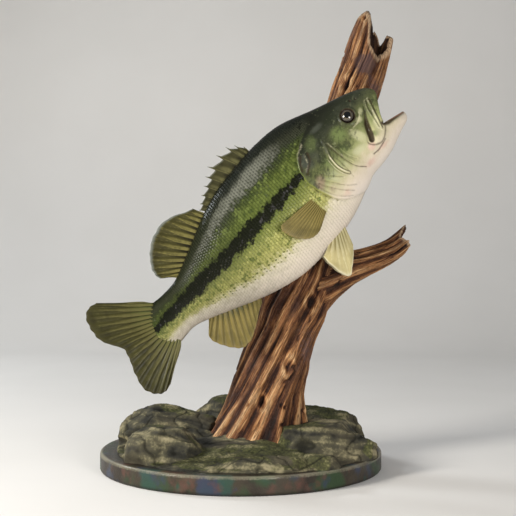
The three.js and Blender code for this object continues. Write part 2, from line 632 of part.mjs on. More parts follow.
for (const [side, name] of [[-1, "right"], [1, "left"]]) {
  addPiece(fish, `gill_cover_${name}`, boneOver(GILL_COVER, side), SKIN_HEAD);
  addPiece(fish, `upper_jaw_${name}`, boneOver(UPPER_JAW, side), SKIN_PALE);
  addPiece(fish, `eye_${name}`, eyeBall(side, 0), EYE_GLASS);
  addPiece(fish, `breast_fin_${name}`, breastFin(side, 0).subtract(bodyGrown), FIN_OLIVE);
  const belly = sideFin(BELLY_ROOT, BELLY_EDGE, side, { rays: 7, thickBase: 4, thickEdge: 1.2, cup: 1 });
  addPiece(fish, `belly_fin_${name}`, belly.subtract(bodyGrown), FIN_CREAM);
}

const tailFin = middleFin(TAIL_BASE, TAIL_MARGIN, { rays: 14, thickBase: 6, thickEdge: 1.2, wave: 3 });
const softFin = middleFin(SOFT_BASE, SOFT_MARGIN, { rays: 13, thickBase: 4, thickEdge: 1.1, wave: 2.5 });
const analFin = middleFin(ANAL_BASE, ANAL_MARGIN, { rays: 12, thickBase: 4, thickEdge: 1.1, wave: -2.5 });
addPiece(fish, "tail_fin", tailFin.subtract(bodyGrown), FIN_OLIVE);
addPiece(fish, "back_fin_soft", softFin.subtract(bodyGrown), FIN_OLIVE);
addPiece(fish, "back_fin_spiny", spinyFin().subtract(bodyGrown), FIN_OLIVE);
addPiece(fish, "anal_fin", analFin.subtract(bodyGrown), FIN_OLIVE);

const tongue = new THREE.SphereGeometry(1, 8, 5).scale(...TONGUE.half).rotateY(TONGUE.tilt);
tongue.translate(TONGUE.x, bendAt(TONGUE.x), TONGUE.z);
addPiece(fish, "tongue", fromGeometry(tongue).subtract(bodySolid(0, true)), TONGUE_FLESH);

const fishRoom = bodyGrown.add(boneBlock(GILL_COVER, 1.02, GAP)).add(breastFin(1, 2 * GAP));
const fishInMount = movedSolid(fishRoom, fish.matrixWorld);
const wood = trunkSolid(0);
const lowerBlock = block(-300, 400, -300, 300, 0, TRUNK_CUT - GAP / 2);
const upperBlock = block(-300, 400, -300, 300, TRUNK_CUT + GAP / 2, 800);
const stump = wood.intersect(lowerBlock).subtract(fishInMount).subtract(moundSolid(GAP));
const snag = wood.intersect(upperBlock).subtract(fishInMount);
const branch = branchSolid().subtract(trunkSolid(GAP)).subtract(fishInMount);
addPiece(mount, "driftwood_stump", stump, DRIFTWOOD);
addPiece(mount, "driftwood_snag", snag, DRIFTWOOD);
addPiece(mount, "driftwood_branch", branch, DRIFTWOOD);

let taken = trunkSolid(GAP).add(moundSolid(GAP)).add(block(-300, 300, -300, 300, 0, PLINTH.height + GAP));
for (const [name, rock] of Object.entries(ROCKS)) {
  addPiece(mount, name, rockSolid(rock, 0).subtract(taken), ROCK);
  taken = taken.add(rockSolid(rock, GAP));
}
addPiece(mount, "ground", moundSolid(0), GROUND);
addPiece(mount, "plinth", plinthSolid(), PATINA);

export default mount;
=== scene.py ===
"""Dresses a mounted largemouth bass: scaled skin, rayed fins, glass eyes, driftwood, stones, plinth.

Lengths in the tables are millimetres. The fish is drawn in a frame of its own, as x forwards from the
tail base, y to its left and z towards its back, and to_world() turns that frame into place.
"""

import math

import bmesh
import bpy
import numpy as np
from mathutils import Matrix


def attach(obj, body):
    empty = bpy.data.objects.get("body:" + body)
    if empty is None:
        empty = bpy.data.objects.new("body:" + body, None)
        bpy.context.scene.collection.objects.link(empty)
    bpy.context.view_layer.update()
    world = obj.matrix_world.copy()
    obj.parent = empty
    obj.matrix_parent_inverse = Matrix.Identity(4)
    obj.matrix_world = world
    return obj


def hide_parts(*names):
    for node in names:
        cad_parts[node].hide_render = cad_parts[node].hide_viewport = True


bl_info = {
    "name": "Mounted Largemouth Bass",
    "version": (1, 0, 0),
    "blender": (4, 5, 0),
    "location": "3D View > Sidebar > Bass",
    "description": "Builds the finished surfaces of a mounted bass on driftwood and stones",
    "category": "Add Mesh",
}

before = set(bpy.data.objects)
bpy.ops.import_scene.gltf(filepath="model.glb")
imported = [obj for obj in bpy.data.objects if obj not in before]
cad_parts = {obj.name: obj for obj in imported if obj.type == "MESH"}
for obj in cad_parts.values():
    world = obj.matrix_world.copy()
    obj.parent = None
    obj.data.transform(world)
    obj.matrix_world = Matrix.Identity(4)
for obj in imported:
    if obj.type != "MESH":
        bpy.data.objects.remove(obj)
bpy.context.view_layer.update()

MM = 0.001
BODY = "root"
HANDS = {"right": -1, "left": 1}

# ---------------------------------------------------------------- the fish's frame and body
FISH_AT = np.array([-105.0, -45.0, 208.0])  # tail base
PITCH = math.radians(44.0)  # how far the head points up
BEND = {"tail_from": 120.0, "tail_swing": 15.0, "head_from": 300.0, "head_swing": 5.0, "reach": 130.0}
JAW_ANGLE = math.radians(105.0)  # round a section, from the back to the mouth's corner
LIPS_ROW = 19.0  # row where the outside of the body turns into the mouth
GAPE_ROW = 20.0  # row where the lining of the mouth begins
THROAT_ROW = 25.0
# Cross-sections from the tail base to the lips, and on down the mouth to the throat:
# x and z of the top, x and z of the bottom, half width, height of the widest level,
# fullness above and below it (2 is an ellipse), and how far the sides bow back.
SECTIONS = [
    [-3, 30.5, -6, -35.5, 3.2, -2, 2, 2, 14],
    [9, 30, 7, -34.3, 7.5, -2, 2, 2, 5],
    [26, 29.5, 26, -33.6, 12.5, -2, 2, 2, 0],
    [50, 32, 50, -41, 18, -4, 2, 2, 0],
    [80, 43.5, 80, -53.5, 26, -4, 2, 2, 0],
    [115, 59, 115, -68, 34.5, -4, 2, 2, 0],
    [150, 73.5, 150, -79.5, 42, -3, 1.95, 2.05, 0],
    [185, 83, 185, -86.5, 47, -2, 1.95, 2.1, 0],
    [220, 87.5, 220, -87, 49, -1, 1.95, 2.1, 0],
    [255, 90.5, 255, -84, 49, -1, 1.95, 2.1, 0],
    [285, 90, 285, -78.5, 47.5, -2, 1.95, 2.05, 0],
    [310, 86, 310, -71, 46.5, -4, 1.9, 2, 0],
    [333, 78, 333, -61.5, 44.5, -6, 1.9, 2, 0],
    [350, 71, 350, -53.5, 42, -7, 1.9, 2.1, 0],
    [370, 64, 370, -51.5, 39.3, -8, 2, 2.2, 0],
    [390, 57.5, 390, -48, 36.3, -9, 2.1, 2.2, 4],
    [406, 51.5, 407, -42, 33.8, -10, 2.1, 2.1, 12],
    [417, 46, 424, -35.6, 32.5, -10, 2, 1.9, 22.5],
    [425, 41, 437, -31, 32, -10, 2, 1.8, 32],
    [428, 35, 441.5, -22.5, 32, -10, 2, 1.7, 36],
    [424.5, 31.5, 438.5, -18.5, 29, -10, 2, 1.7, 35],
    [417, 30, 430, -25, 27, -10, 2, 1.9, 25],
    [404, 27, 412, -31, 27, -10, 2, 2.2, 12],
    [388, 22, 390, -36, 28, -10, 2, 2.2, 3],
    [366, 14, 366, -37, 26, -12, 2, 2, 0],
    [346, 2, 346, -30, 16, -14, 2, 2, 0],
]


def clamp01(t):
    return np.clip(t, 0.0, 1.0)


def smooth(t):
    t = clamp01(t)
    return t * t * (3 - 2 * t)


def mix(a, b, t):
    return a + (b - a) * t


def bump(distance, width):
    """1 on a line, falling softly to 0 about two widths away."""
    return np.exp(-((distance / width) ** 2))


def spun(a, b, angle):
    """Two coordinates turned by an angle, from the first axis towards the second."""
    c, s = math.cos(angle), math.sin(angle)
    return a * c - b * s, a * s + b * c


def row_at(table, at):
    """A smooth curve through the rows of a table; at counts rows from 0."""
    table = np.asarray(table, float)
    at = np.asarray(at, float)
    i = np.clip(np.floor(at).astype(int), 0, len(table) - 2)
    t = (at - i)[..., None]
    p, a, b, q = (table[np.clip(i + k, 0, len(table) - 1)] for k in (-1, 0, 1, 2))
    return a + 0.5 * t * (b - p + t * (2 * p - 5 * a + 4 * b - q + t * (3 * (a - b) + q - p)))


def along(table, share):
    return row_at(table, np.asarray(share, float) * (len(table) - 1))


def to_world(points):
    x, y, z = np.moveaxis(np.asarray(points, float), -1, 0)
    ahead, up = spun(x, z, PITCH)
    return FISH_AT + np.stack([ahead, y, up], -1)


def to_fish(points):
    x, y, z = np.moveaxis(np.asarray(points, float) - FISH_AT, -1, 0)
    ahead, up = spun(x, z, -PITCH)
    return np.stack([ahead, y, up], -1)


def bend_at(x):
    """How far the body swings aside, towards its right at both ends."""
    tail = np.maximum(0, BEND["tail_from"] - x) / BEND["reach"]
    head = np.maximum(0, x - BEND["head_from"]) / BEND["reach"]
    return -BEND["tail_swing"] * tail**1.7 - BEND["head_swing"] * head**2


def body_point(at, angle):
    """Points on the plain body, by row number and by angle from the back over the right side."""
    x_top, top, x_low, low, half, level, above, below, bow = np.moveaxis(row_at(SECTIONS, at), -1, 0)
    turned = np.mod(angle, 2 * np.pi)
    down = np.pi - np.abs(np.pi - turned)
    side = np.where(turned < np.pi, -1.0, 1.0)
    upper = down < np.pi / 2
    full = 2 / np.where(upper, above, below)
    rise = np.abs(np.cos(down)) ** full
    z = np.where(upper, level + (top - level) * rise, level - (level - low) * rise)
    behind = np.maximum(0, np.pi - down) / (np.pi - JAW_ANGLE)
    bowed = np.where(down < JAW_ANGLE, smooth((down / JAW_ANGLE - 0.25) / 0.75), behind**1.5)
    x = mix(x_top, x_low, (top - z) / (top - low)) - bow * bowed
    y = side * half * np.abs(np.sin(down)) ** full
    return np.stack([x, y + bend_at(x), z], -1)


def body_frame(at, angle):
    """Points on the plain body with the directions outwards and towards the head."""
    ahead = body_point(at + 0.01, angle) - body_point(at - 0.01, angle)
    around = body_point(at, angle + 0.004) - body_point(at, angle - 0.004)
    outward = np.cross(around, ahead)
    return body_point(at, angle), unit(outward), unit(ahead)


def unit(vectors):
    return vectors / np.maximum(np.linalg.norm(vectors, axis=-1, keepdims=True), 1e-9)


def row_of(x):
    """The row number of the section whose top is at x."""
    rows = np.linspace(0, LIPS_ROW - 1, 400)
    return np.interp(x, row_at(SECTIONS, rows)[:, 0], rows)


def flank_at(x, z):
    """How far the left flank stands out at a place seen from the side, and whether it is on the body."""
    _, top, _, low, half, level, above, below, _ = np.moveaxis(row_at(SECTIONS, row_of(x)), -1, 0)
    share = np.where(z > level, (z - level) / (top - level), (level - z) / (level - low))
    full = np.where(z > level, above, below)
    out = half * np.maximum(0, 1 - clamp01(share) ** full) ** (1 / full)
    return out + bend_at(x), (share < 1) & (x > 0)


# ---------------------------------------------------------------- noise
def random_cells(cells, seed):
    """A fixed random number from -1 to 1 for each whole-number cell."""
    x, y, z = np.moveaxis(cells.astype(np.int64), -1, 0)
    mask = 0xFFFFFFFF
    h = (x * 73856093 ^ y * 19349663 ^ z * 83492791 ^ (seed + 11) * 668265263) & mask
    h = ((h ^ (h >> 13)) * 1274126177) & mask
    h = ((h ^ (h >> 15)) * 2246822519) & mask
    return ((h ^ (h >> 16)) & 0xFFFF) / 32767.5 - 1


def noise(points, size, seed=0, octaves=1):
    """Smooth noise from about -1 to 1; size is the width of its largest blobs, one number or three."""
    place = np.asarray(points, float) / size
    total = np.zeros(place.shape[:-1])
    share, weight = 1.0, 0.0
    for octave in range(octaves):
        cell = np.floor(place)
        t = place - cell
        t = t * t * (3 - 2 * t)
        value = 0
        for corner in np.ndindex(2, 2, 2):
            near = np.prod(np.where(np.array(corner) == 1, t, 1 - t), -1)
            value = value + near * random_cells(cell + corner, seed + 17 * octave)
        total += share * value
        weight += share
        share *= 0.5
        place = place * 2.03 + 5.7
    return total / weight


def ridges(points, size, seed=0, octaves=1):
    """Noise with sharp crests at 1 and round hollows towards 0."""
    return 1 - np.abs(noise(points, size, seed, octaves)) * 2


# ---------------------------------------------------------------- meshes
def grid_faces(rows, columns, closed=False):
    """Quads of a grid of points, row by row; closed joins the last column to the first."""
    r, c = np.meshgrid(np.arange(rows - 1), np.arange(columns if closed else columns - 1), indexing="ij")
    c1 = (c + 1) % columns
    quads = np.stack([r * columns + c, r * columns + c1, (r + 1) * columns + c1, (r + 1) * columns + c], -1)
    return quads.reshape(-1, 4).tolist()


WELD = 1e-6  # metres within which the points of a pole are one


def round_angles(count):
    """Angles that divide a full turn evenly, as one row."""
    return (np.arange(count) * 2 * np.pi / count)[None, :]


def fan_faces(ring, middle, flip):
    """Triangles from a ring of points to one in its middle; flip turns them over."""
    pairs = zip(ring, ring[1:] + ring[:1])
    return [[b, a, middle] if flip else [a, b, middle] for a, b in pairs]


def make_object(name, points, faces, finish=None, fields=None):
    """A smooth-shaded mesh object from points in millimetres and named numbers for each point."""
    mesh = bpy.data.meshes.new(name)
    mesh.from_pydata((np.asarray(points, float).reshape(-1, 3) * MM).tolist(), [], faces)
    mark_points(mesh, fields or {})
    if finish:
        mesh.materials.append(finish)
    return shown(name, mesh)


def mark_points(mesh, fields):
    """Stores named numbers or vectors for each point of a mesh."""
    for key, values in fields.items():
        values = np.asarray(values, np.float32)
        kind, slot = ("FLOAT_VECTOR", "vector") if values.ndim == 2 else ("FLOAT", "value")
        mesh.attributes.new(key, kind, "POINT").data.foreach_set(slot, values.ravel())


def point_rows(mesh, key):
    """The co or the normal of each point of a mesh, as rows."""
    values = np.empty(len(mesh.vertices) * 3, np.float32)
    mesh.vertices.foreach_get(key, values)
    return values.reshape(-1, 3).astype(float)


def shown(name, mesh):
    """A smooth-shaded object of a mesh, in the scene."""
    mesh.polygons.foreach_set("use_smooth", [True] * len(mesh.polygons))
    mesh.update()
    made = bpy.data.objects.new(name, mesh)
    bpy.context.scene.collection.objects.link(made)
    return made


def face_outwards(made, weld=0.0):
    """Turns all faces outwards, after joining points that lie nearer than weld, in metres."""
    shape = bmesh.new()
    shape.from_mesh(made.data)
    if weld:
        bmesh.ops.remove_doubles(shape, verts=shape.verts, dist=weld)
    bmesh.ops.recalc_face_normals(shape, faces=shape.faces)
    shape.to_mesh(made.data)
    shape.free()
    return made


def settle(made, slot, *nodes):
    """Makes a finished piece part of the model, in place of the nodes it stands for."""
    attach(made, BODY)
    if nodes:
        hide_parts(*nodes)


def realised(made, name, finish):
    """The object with its modifiers worked out, as a plain mesh."""
    graph = bpy.context.evaluated_depsgraph_get()
    mesh = bpy.data.meshes.new_from_object(
        made.evaluated_get(graph), preserve_all_data_layers=True, depsgraph=graph
    )
    made.modifiers.clear()
    bpy.data.objects.remove(made)
    mesh.name = name
    if not mesh.materials:
        mesh.materials.append(finish)
    return shown(name, mesh)


# ---------------------------------------------------------------- shader and geometry nodes
def hex_color(code):
    """An sRGB hex colour as linear red, green, blue and alpha."""
    parts = [int(code[i : i + 2], 16) / 255 for i in (0, 2, 4)]
    return [c / 12.92 if c < 0.04045 else ((c + 0.055) / 1.055) ** 2.4 for c in parts] + [1.0]


def add_node(tree, kind, inputs=None, stops=None, **settings):
    """Adds a node; inputs are values, colours, sockets or nodes by name or number, stops a ramp's colours."""
    made = tree.nodes.new(kind)
    for key, value in settings.items():
        setattr(made, key, value)
    if stops:
        elements = made.color_ramp.elements
        while len(elements) < len(stops):
            elements.new(0.5)
        for element, (position, code) in zip(elements, stops):
            element.position = position
            element.color = hex_color(code) if isinstance(code, str) else [code, code, code, 1]
    for key, value in (inputs or {}).items():
        socket = made.inputs[key]
        if isinstance(value, bpy.types.Node):
            value = next(output for output in value.outputs if output.enabled)
        if isinstance(value, bpy.types.NodeSocket):
            tree.links.new(value, socket)
        elif isinstance(value, str) and socket.type == "RGBA":
            socket.default_value = hex_color(value)
        else:
            socket.default_value = value
    return made


# ---------------------------------------------------------------- relief of the head
EYE = {"x": 376.5, "y": 29.5, "z": 28.5, "radius": 9.6, "depth": 6.0, "roll": 15.0, "turn": 6.0}
# Lines on the side of the head, as x and z from above.
GILL_EDGE = [
    [320, 60], [309, 52], [300, 46], [285, 34], [275, 17], [272.5, 0], [276.5, -20], [283.5, -37.5],
    [293, -50], [307, -57.5], [321, -61.5], [338, -66],
]
GILL_FOLDS = [
    [[280, -14], [284, -27], [290, -38.5], [298, -47.5], [307, -54]],
    [[284, -10.5], [288.5, -21], [295, -31], [303, -41], [313, -50.5]],
    [[289, -8], [294.5, -18], [302.3, -29], [311, -39.5], [321, -47]],
]
PLATE_LINES = [
    [[295.4, -5.7], [305.1, -17.3], [313.9, -27.0]],
    [[325, -2.7], [325.6, -20], [325, -35.7]],
]
PREOPERCLE = [[327, 27], [324.9, 18.7], [319.1, 6], [317.6, -10.5], [320.5, -22.1], [324, -28]]
CHEEK_CREASE = [[327.9, 19.7], [329.9, -1.7], [332.8, -16.3], [337.6, -28.9], [347.3, -38.6]]
UPPER_JAW = [
    [427, 36], [424.5, 22], [419.5, 12], [414, 2.5], [408, -8.5], [402, -18], [393, -25.5], [384, -28],
    [375.5, -24], [371.5, -17.5], [376, -11.5], [384, -4.5], [391, 5], [398, 16], [406, 27], [418, 37],
]
JAW_FURROW = [[402, 23], [396, 13.5], [390.3, 6], [385.3, -2], [381.3, -10.5], [377.3, -17.5]]
JAW_FOLDS = [
    [[414.4, 24.6], [410.7, 14.3], [406.5, 3.4], [402.8, -6.9], [399.1, -15.9]],
    [[409.3, 25.8], [404.3, 16.8], [401.9, 9.1], [399.5, -1.2], [397.2, -11.4]],
]
CHEEK_FOLDS = [
    [[336.2, 7.3], [336.4, -2.9], [339.1, -13.1], [344.4, -21.9]],
    [[331.8, 5.3], [331.9, -4.9], [334, -13.2], [336.7, -20.8]],
]
EYE_FOLD = [[389, 21], [385.2, 17.7], [380.1, 15.1], [372.5, 13.7], [368, 13]]
COVER_RIDGES = [
    [[303, 44], [297.5, 40.5], [291.5, 38], [286, 33]], [[297.5, 32], [294, 24.5], [291, 18.5], [283.5, 14]],
]
COVER_HOLLOWS = [[[301, 30], [298.5, 24], [295, 19], [281, 9]], [[291, 33], [285, 27], [279, 17]]]
LOWER_LIP = [[403, -11], [408.7, -16], [417.7, -17], [429.2, -18.2], [438, -19]]
CHIN_FOLD = [[367, -33.5], [375, -34], [382, -32.8], [392.6, -29.5]]
NOSTRILS = [[394.5, 41.5], [402, 38.5]]
JAW_PORES = [[426, -27.5], [414, -31], [401, -35.5], [387, -40], [372, -43]]
BROW = [[364, 40], [372, 43.5], [382, 43.5], [391, 40]]
# Relief along lines of the head: the lines, then height, distance from the line and width of each swell.
LINE_RELIEF = [
    [GILL_FOLDS, [[-0.75, 0, 0.9], [0.5, 2.6, 1.8]]],
    [PLATE_LINES, [[-0.35, 0, 0.9], [0.25, -2.2, 1.6]]],
    [[PREOPERCLE], [[0.95, 0, 1.5], [-0.7, -3.2, 1.7]]],
    [[CHEEK_CREASE], [[0.7, 3.4, 2.6], [-0.85, 0, 1.2]]],
    [JAW_FOLDS, [[0.5, -2.0, 1.3], [-0.7, 0, 1.1]]],
    [CHEEK_FOLDS + [EYE_FOLD], [[0.4, 1.8, 1.2], [-0.45, 0, 0.9]]],
    [COVER_RIDGES, [[0.8, 0, 1.7]]],
    [COVER_HOLLOWS, [[-0.9, 0, 2.0]]],
    [[CHIN_FOLD], [[-0.9, 0, 1.3]]],
    [[BROW], [[0.9, 0, 3.2]]],
]
# The same round points of it: nostrils, pores and the rim of the eye's socket.
POINT_RELIEF = [
    [NOSTRILS, [[0.55, 2.4, 0.9], [-1.7, 0, 1.35]]],
    [JAW_PORES, [[-0.6, 0, 0.9]]],
    [[[EYE["x"], EYE["z"]]], [[1.15, EYE["radius"] + 1.7, 1.5], [-0.5, EYE["radius"] + 5, 1.6]]],
]
SOCKET = {"depth": 7.5, "clear": 0.2, "wall": 2.2}  # the eye's socket, its play and the slope of its wall
HEAD_FROM = {"x": 262.0, "fade": 6.0}  # where the head's folds begin, and their fading in
HEAD_CLEAR = 255.0  # nothing of the head's relief lies behind this x
GILL_LIFT = 2.1  # how far the gill cover stands off the body behind it
JAW_LIFT = 1.9
COAT_DEPTH = 1.25  # how far the skin lies inside the scaled outline


def path_distance(path, x, z, closed=False):
    """Distance in millimetres to a smooth line, above zero on its left side or inside it."""
    rows = np.asarray(path + path[:1] if closed else path, float)
    line = row_at(rows, np.linspace(0, len(rows) - 1, 4 * len(rows)))
    best = np.full(np.shape(x), 1e9)
    sign = np.ones(np.shape(x))
    inside = np.zeros(np.shape(x), bool)
    for (ax, az), (bx, bz) in zip(line[:-1], line[1:]):
        dx, dz = bx - ax, bz - az
        share = clamp01(((x - ax) * dx + (z - az) * dz) / (dx * dx + dz * dz))
        distance = np.hypot(x - ax - share * dx, z - az - share * dz)
        nearer = distance < best
        best = np.where(nearer, distance, best)
        sign = np.where(nearer, np.sign(dx * (z - az) - dz * (x - ax)), sign)
        inside ^= ((az > z) != (bz > z)) & (x < ax + (z - az) * dx / (dz if dz else 1e-9))
    if closed:
        return np.where(inside, best, -best)
    return best * np.where(sign == 0, 1, sign)


def jaw_furrow(x, z):
    """Distance to the middle of the hollow behind the upper jaw, and its half width, larger downwards."""
    return np.abs(path_distance(JAW_FURROW, x, z)), 0.7 + 3.4 * smooth((402 - x) / 18)


def past(x, edge):
    """0 behind a place along the fish and 1 well ahead of it."""
    return smooth((x - edge["x"]) / edge["fade"])


def swelling(away, swells):
    """The sum of soft swells at distances from a line or a point."""
    return sum(height * bump(away - offset, width) for height, offset, width in swells)


def head_relief(at, x, z):
    """How far the skin of the head stands off the plain body, in millimetres."""
    gill = path_distance(GILL_EDGE, x, z)
    cover = smooth(gill / 1.6) * (0.3 + 0.7 * np.exp(-np.maximum(gill, 0) / 26))
    cover = cover * mix(0.35, 1.0, smooth((18 - z) / 24))
    low_end = smooth((62 - np.abs(z + 4)) / 12)
    lift = (GILL_LIFT * cover - 1.1 * bump(gill + 0.9, 1.5)) * low_end
    for lines, swells in LINE_RELIEF:
        for line in lines:
            lift += swelling(path_distance(line, x, z), swells)
    for points, swells in POINT_RELIEF:
        for px, pz in points:
            lift += swelling(np.hypot(x - px, z - pz), swells)
    jaw = path_distance(UPPER_JAW, x, z, closed=True)
    behind = smooth((412 - x) / 10)
    lift += JAW_LIFT * smooth(jaw / 1.3 + 0.2) * mix(0.4, 1, behind)
    furrow, width = jaw_furrow(x, z)
    lift -= (1.6 + 0.8 * width) * bump(furrow, width)
    eye = np.hypot(x - EYE["x"], z - EYE["z"])
    lift -= SOCKET["depth"] * smooth((EYE["radius"] + SOCKET["clear"] - eye) / SOCKET["wall"])
    streaks = noise(np.stack([0.55 * x - 0.84 * z, 0.84 * x + 0.55 * z, 0 * x], -1), [3.2, 22, 9], 5, 2)
    plate = bump(np.hypot((x - 292) / 15, (z - 26) / 22), 1)
    lift += 0.8 * streaks * plate
    return lift * past(x, HEAD_FROM) * smooth(LIPS_ROW + 0.3 - at)


def skin_point(at, angle):
    """Points on the finished skin, with outward and forward directions and the plain body's x and z."""
    point, outward, ahead = body_frame(at, angle)
    x, z = point[..., 0], point[..., 2]
    head = head_share(x, z)
    relief = np.zeros(x.shape)
    near = x > HEAD_CLEAR
    relief[near] = head_relief(np.broadcast_to(at, x.shape)[near], x[near], z[near])
    inset = COAT_DEPTH * (1 - 0.75 * head) * smooth(LIPS_ROW - at)
    return point + outward * (relief - inset)[..., None], outward, ahead, x, z


def head_share(x, z):
    """1 on the head, 0 behind the gill cover's edge."""
    edge = np.asarray(GILL_EDGE[2:] + [[342, -75]], float)
    edge = np.vstack([[340, 92], [331, 74], [318, 60], edge])
    limit = np.interp(-z, -edge[:, 1], edge[:, 0])
    return smooth((x - limit) / mix(3.0, 26.0, smooth((z - 44) / 14)))


# ---------------------------------------------------------------- markings
STRIPE = [[-16, 0], [0, 1.5], [60, 4], [120, 4.4], [150, 5.6], [200, 8], [247, 11.4], [266, 13], [285, 15]]
STRIPE_HALF = [[-16, 5], [0, 6.8], [50, 8.8], [100, 10], [150, 9.7], [200, 8.8], [250, 7.2], [285, 5]]
# Strength of the painted silvery sheen band on the back, by x.
SHEEN = [[-10, -0.3], [60, -0.2], [100, 0], [150, 0.45], [200, 0.9], [235, 1], [265, 0.5], [295, -0.3]]
STRIPE_END = {"x": -15.0, "fade": 8.0}  # on the tail fin's base
TAILWARD = {"from": 225.0, "reach": 125.0, "below": 0.7}  # the darker tail end, and its share below
HEAD_ZONE = {"x": 290.0, "z": -32.0, "fall": 0.14, "height": 90.0}  # from the throat to the top of the skull
PATCH_EDGE = 1.3  # how firm the edge of a patch is
# Soft patches on the head by colour: x, z, half length, half height, degrees turned, strength.
PATCHES = {
    "bloom": [
        [349, 19, 13, 13, 0, 0.85], [313, 35, 17, 11, 40, 0.5], [341, 0, 9, 9, 0, 0.6],
        [312, 0, 7, 10, 0, 0.7], [386, -14, 5, 6, 0, 0.6], [262, 44, 24, 12, 0, 0.5],
        [262, 26, 22, 8, 0, 0.5], [304, 2, 10, 6, 0, 0.45],
    ],
    "slate": [
        [290, 22, 9, 17, 25, 0.8], [334, 46, 13, 5, 0, 0.8],
        [306, 18, 8, 12, 0, 0.5], [280, -8, 4, 14, 10, 0.5], [376, 46, 9, 4, 0, 0.3],
    ],
    "pale": [
        [368, -2, 8, 16, 20, 0.75], [354, -16, 13, 8, 0, 0.5], [384, 14, 6, 5, -20, 0.7],
        [398, -6, 7, 15, -32, 0.6], [305, -24, 12, 6, -50, 0.4], [272, -36, 10, 9, 0, 0.5],
        [391, 37, 7, 2.4, 40, 0.3], [401, 42, 6, 2, 30, 0.3], [394, 21, 4, 7, -30, 0.6],
    ],
    "tan": [[286, -12, 8, 12, -35, 0.8], [293, -28, 7, 9, -40, 0.5]],
    "blush": [
        [371, -24, 7, 6, 0, 0.8], [356, -38, 12, 5, 0, 0.6], [384, -34, 12, 4, 0, 0.6],
        [303, -46, 8, 6, 0, 0.5],
    ],
}


def patch_sum(patches, x, z):
    """How strongly soft, turned oval patches cover each place."""
    total = np.zeros(x.shape)
    for px, pz, long, tall, turn, strength in patches:
        a, b = spun(x - px, z - pz, -math.radians(turn))
        total = np.maximum(total, strength * np.exp(-(((a / long) ** 2 + (b / tall) ** 2) ** PATCH_EDGE)))
    return total


def markings(at, x, z, head):
    """Named numbers from which the skin and the scales are coloured alike."""
    rows = row_at(SECTIONS, np.where(at < LIPS_ROW, row_of(x), at))
    centre = np.interp(x, *np.transpose(STRIPE))
    half = np.interp(x, *np.transpose(STRIPE_HALF))
    above = (z - centre) / (rows[..., 1] - centre)
    below = (z - centre) / (centre - rows[..., 3])
    upper = mix(TAILWARD["below"], 1.0, smooth((z - centre) / 8))
    off_tail = smooth((STRIPE_END["x"] - x) / STRIPE_END["fade"])
    tailward = smooth((TAILWARD["from"] - x) / TAILWARD["reach"])
    throat = HEAD_ZONE["z"] + HEAD_ZONE["fall"] * (x - HEAD_ZONE["x"])
    fields = {
        "zone": np.clip(np.where(z > centre, above, below), -1.2, 1.2),
        "stripe": np.abs(z - centre) / half + 3 * off_tail + 4 * head,
        "head": head,
        "head_zone": (z - throat) / HEAD_ZONE["height"],
        "mouth": smooth((at - LIPS_ROW + 0.15) / 0.7),
        "tailward": tailward * (1 - head) * upper,
        "sheen": np.interp(x, *np.transpose(SHEEN)),
    }
    for name, patches in PATCHES.items():
        fields[name] = patch_sum(patches, x, z)
    # Painted shade in the head's creases and hollows, and pale bone edges with painted highlights on its
    # ridges.
    dark, pale = head_shade_and_highlights(at, x, z)
    fields["furrow"], fields["bone"] = dark * past(x, HEAD_FROM), pale * past(x, HEAD_FROM)
    return fields


def head_shade_and_highlights(at, x, z):
    """Painted shade in the folds, hollows and holes of the head at each place, and pale lines that are partly
    its bones' edges and partly painted highlights on its ridges.
    """
    furrow, width = jaw_furrow(x, z)
    slit = path_distance(CHIN_FOLD, x, z)
    gill = path_distance(GILL_EDGE, x, z)
    cheek = path_distance(PREOPERCLE, x, z)
    crease = path_distance(CHEEK_CREASE, x, z)
    jaw = path_distance(UPPER_JAW, x, z, closed=True)
    eye = np.hypot(x - EYE["x"], z - EYE["z"])
    front_fold, rear_fold, eye_fold = (path_distance(fold, x, z) for fold in (*JAW_FOLDS, EYE_FOLD))
    low = smooth((14 - z) / 16)
    over_throat = smooth((z + 31) / 9)
    shades = [
        (0.6, slit, 1.3), (0.6, crease, 1.0), (0.7 * low, cheek - 1.9, 0.9), (0.6 * low, cheek + 2.2, 1.0),
        (0.9, eye - EYE["radius"] + 0.2, 1.6), (0.75, at - GAPE_ROW - 0.1, 0.8),
        (0.6 * smooth((2 - z) / 14) * mix(1, 0.4, smooth((-38 - z) / 16)), gill + 0.6, 1.7),
        (0.6 * smooth((-10 - z) / 8), jaw + 0.9, 1.5),
        (0.9, path_distance(LOWER_LIP, x, z), 3.4), (0.7, front_fold, 1.3),
        (0.45, rear_fold, 1.1), (0.5, eye_fold, 0.9),
    ]
    shades += [(0.4, path_distance(fold, x, z), 1.0) for fold in CHEEK_FOLDS + GILL_FOLDS + PLATE_LINES]
    shades += [(0.65, path_distance(hollow, x, z), 2.2) for hollow in COVER_HOLLOWS]
    shades += [(1.0, np.hypot(x - px, z - pz), 1.5) for px, pz in NOSTRILS]
    # Painted shadow in the hollow behind the upper jaw, darkest at its lower end.
    hollow = mix(0.95, 0.7, smooth((z + 8) / 22)) * smooth((1.2 * width - furrow) / 2.6 + 0.2)
    # Pale bone edges, and painted highlights on the ridges beside the folds.
    lights = [
        (mix(0.2, 0.95, low) * over_throat, cheek, 1.0), (0.6 * low * over_throat, cheek + 3.9, 0.9),
        (0.3, crease - 2.0, 1.2), (0.45, front_fold + 3.0, 1.8), (0.35, rear_fold + 2.4, 1.5),
        (0.4, eye_fold - 2.2, 1.8),
    ]
    lights += [(0.3, path_distance(ridge, x, z), 2.2) for ridge in COVER_RIDGES]
    return np.maximum(hollow, strongest(shades)), strongest(lights)


def strongest(lines):
    """The strongest of several soft lines, each given by its strength, the distance to it and its width."""
    total = 0.0
    for strength, away, width in lines:
        total = np.maximum(total, strength * bump(away, width))
    return total


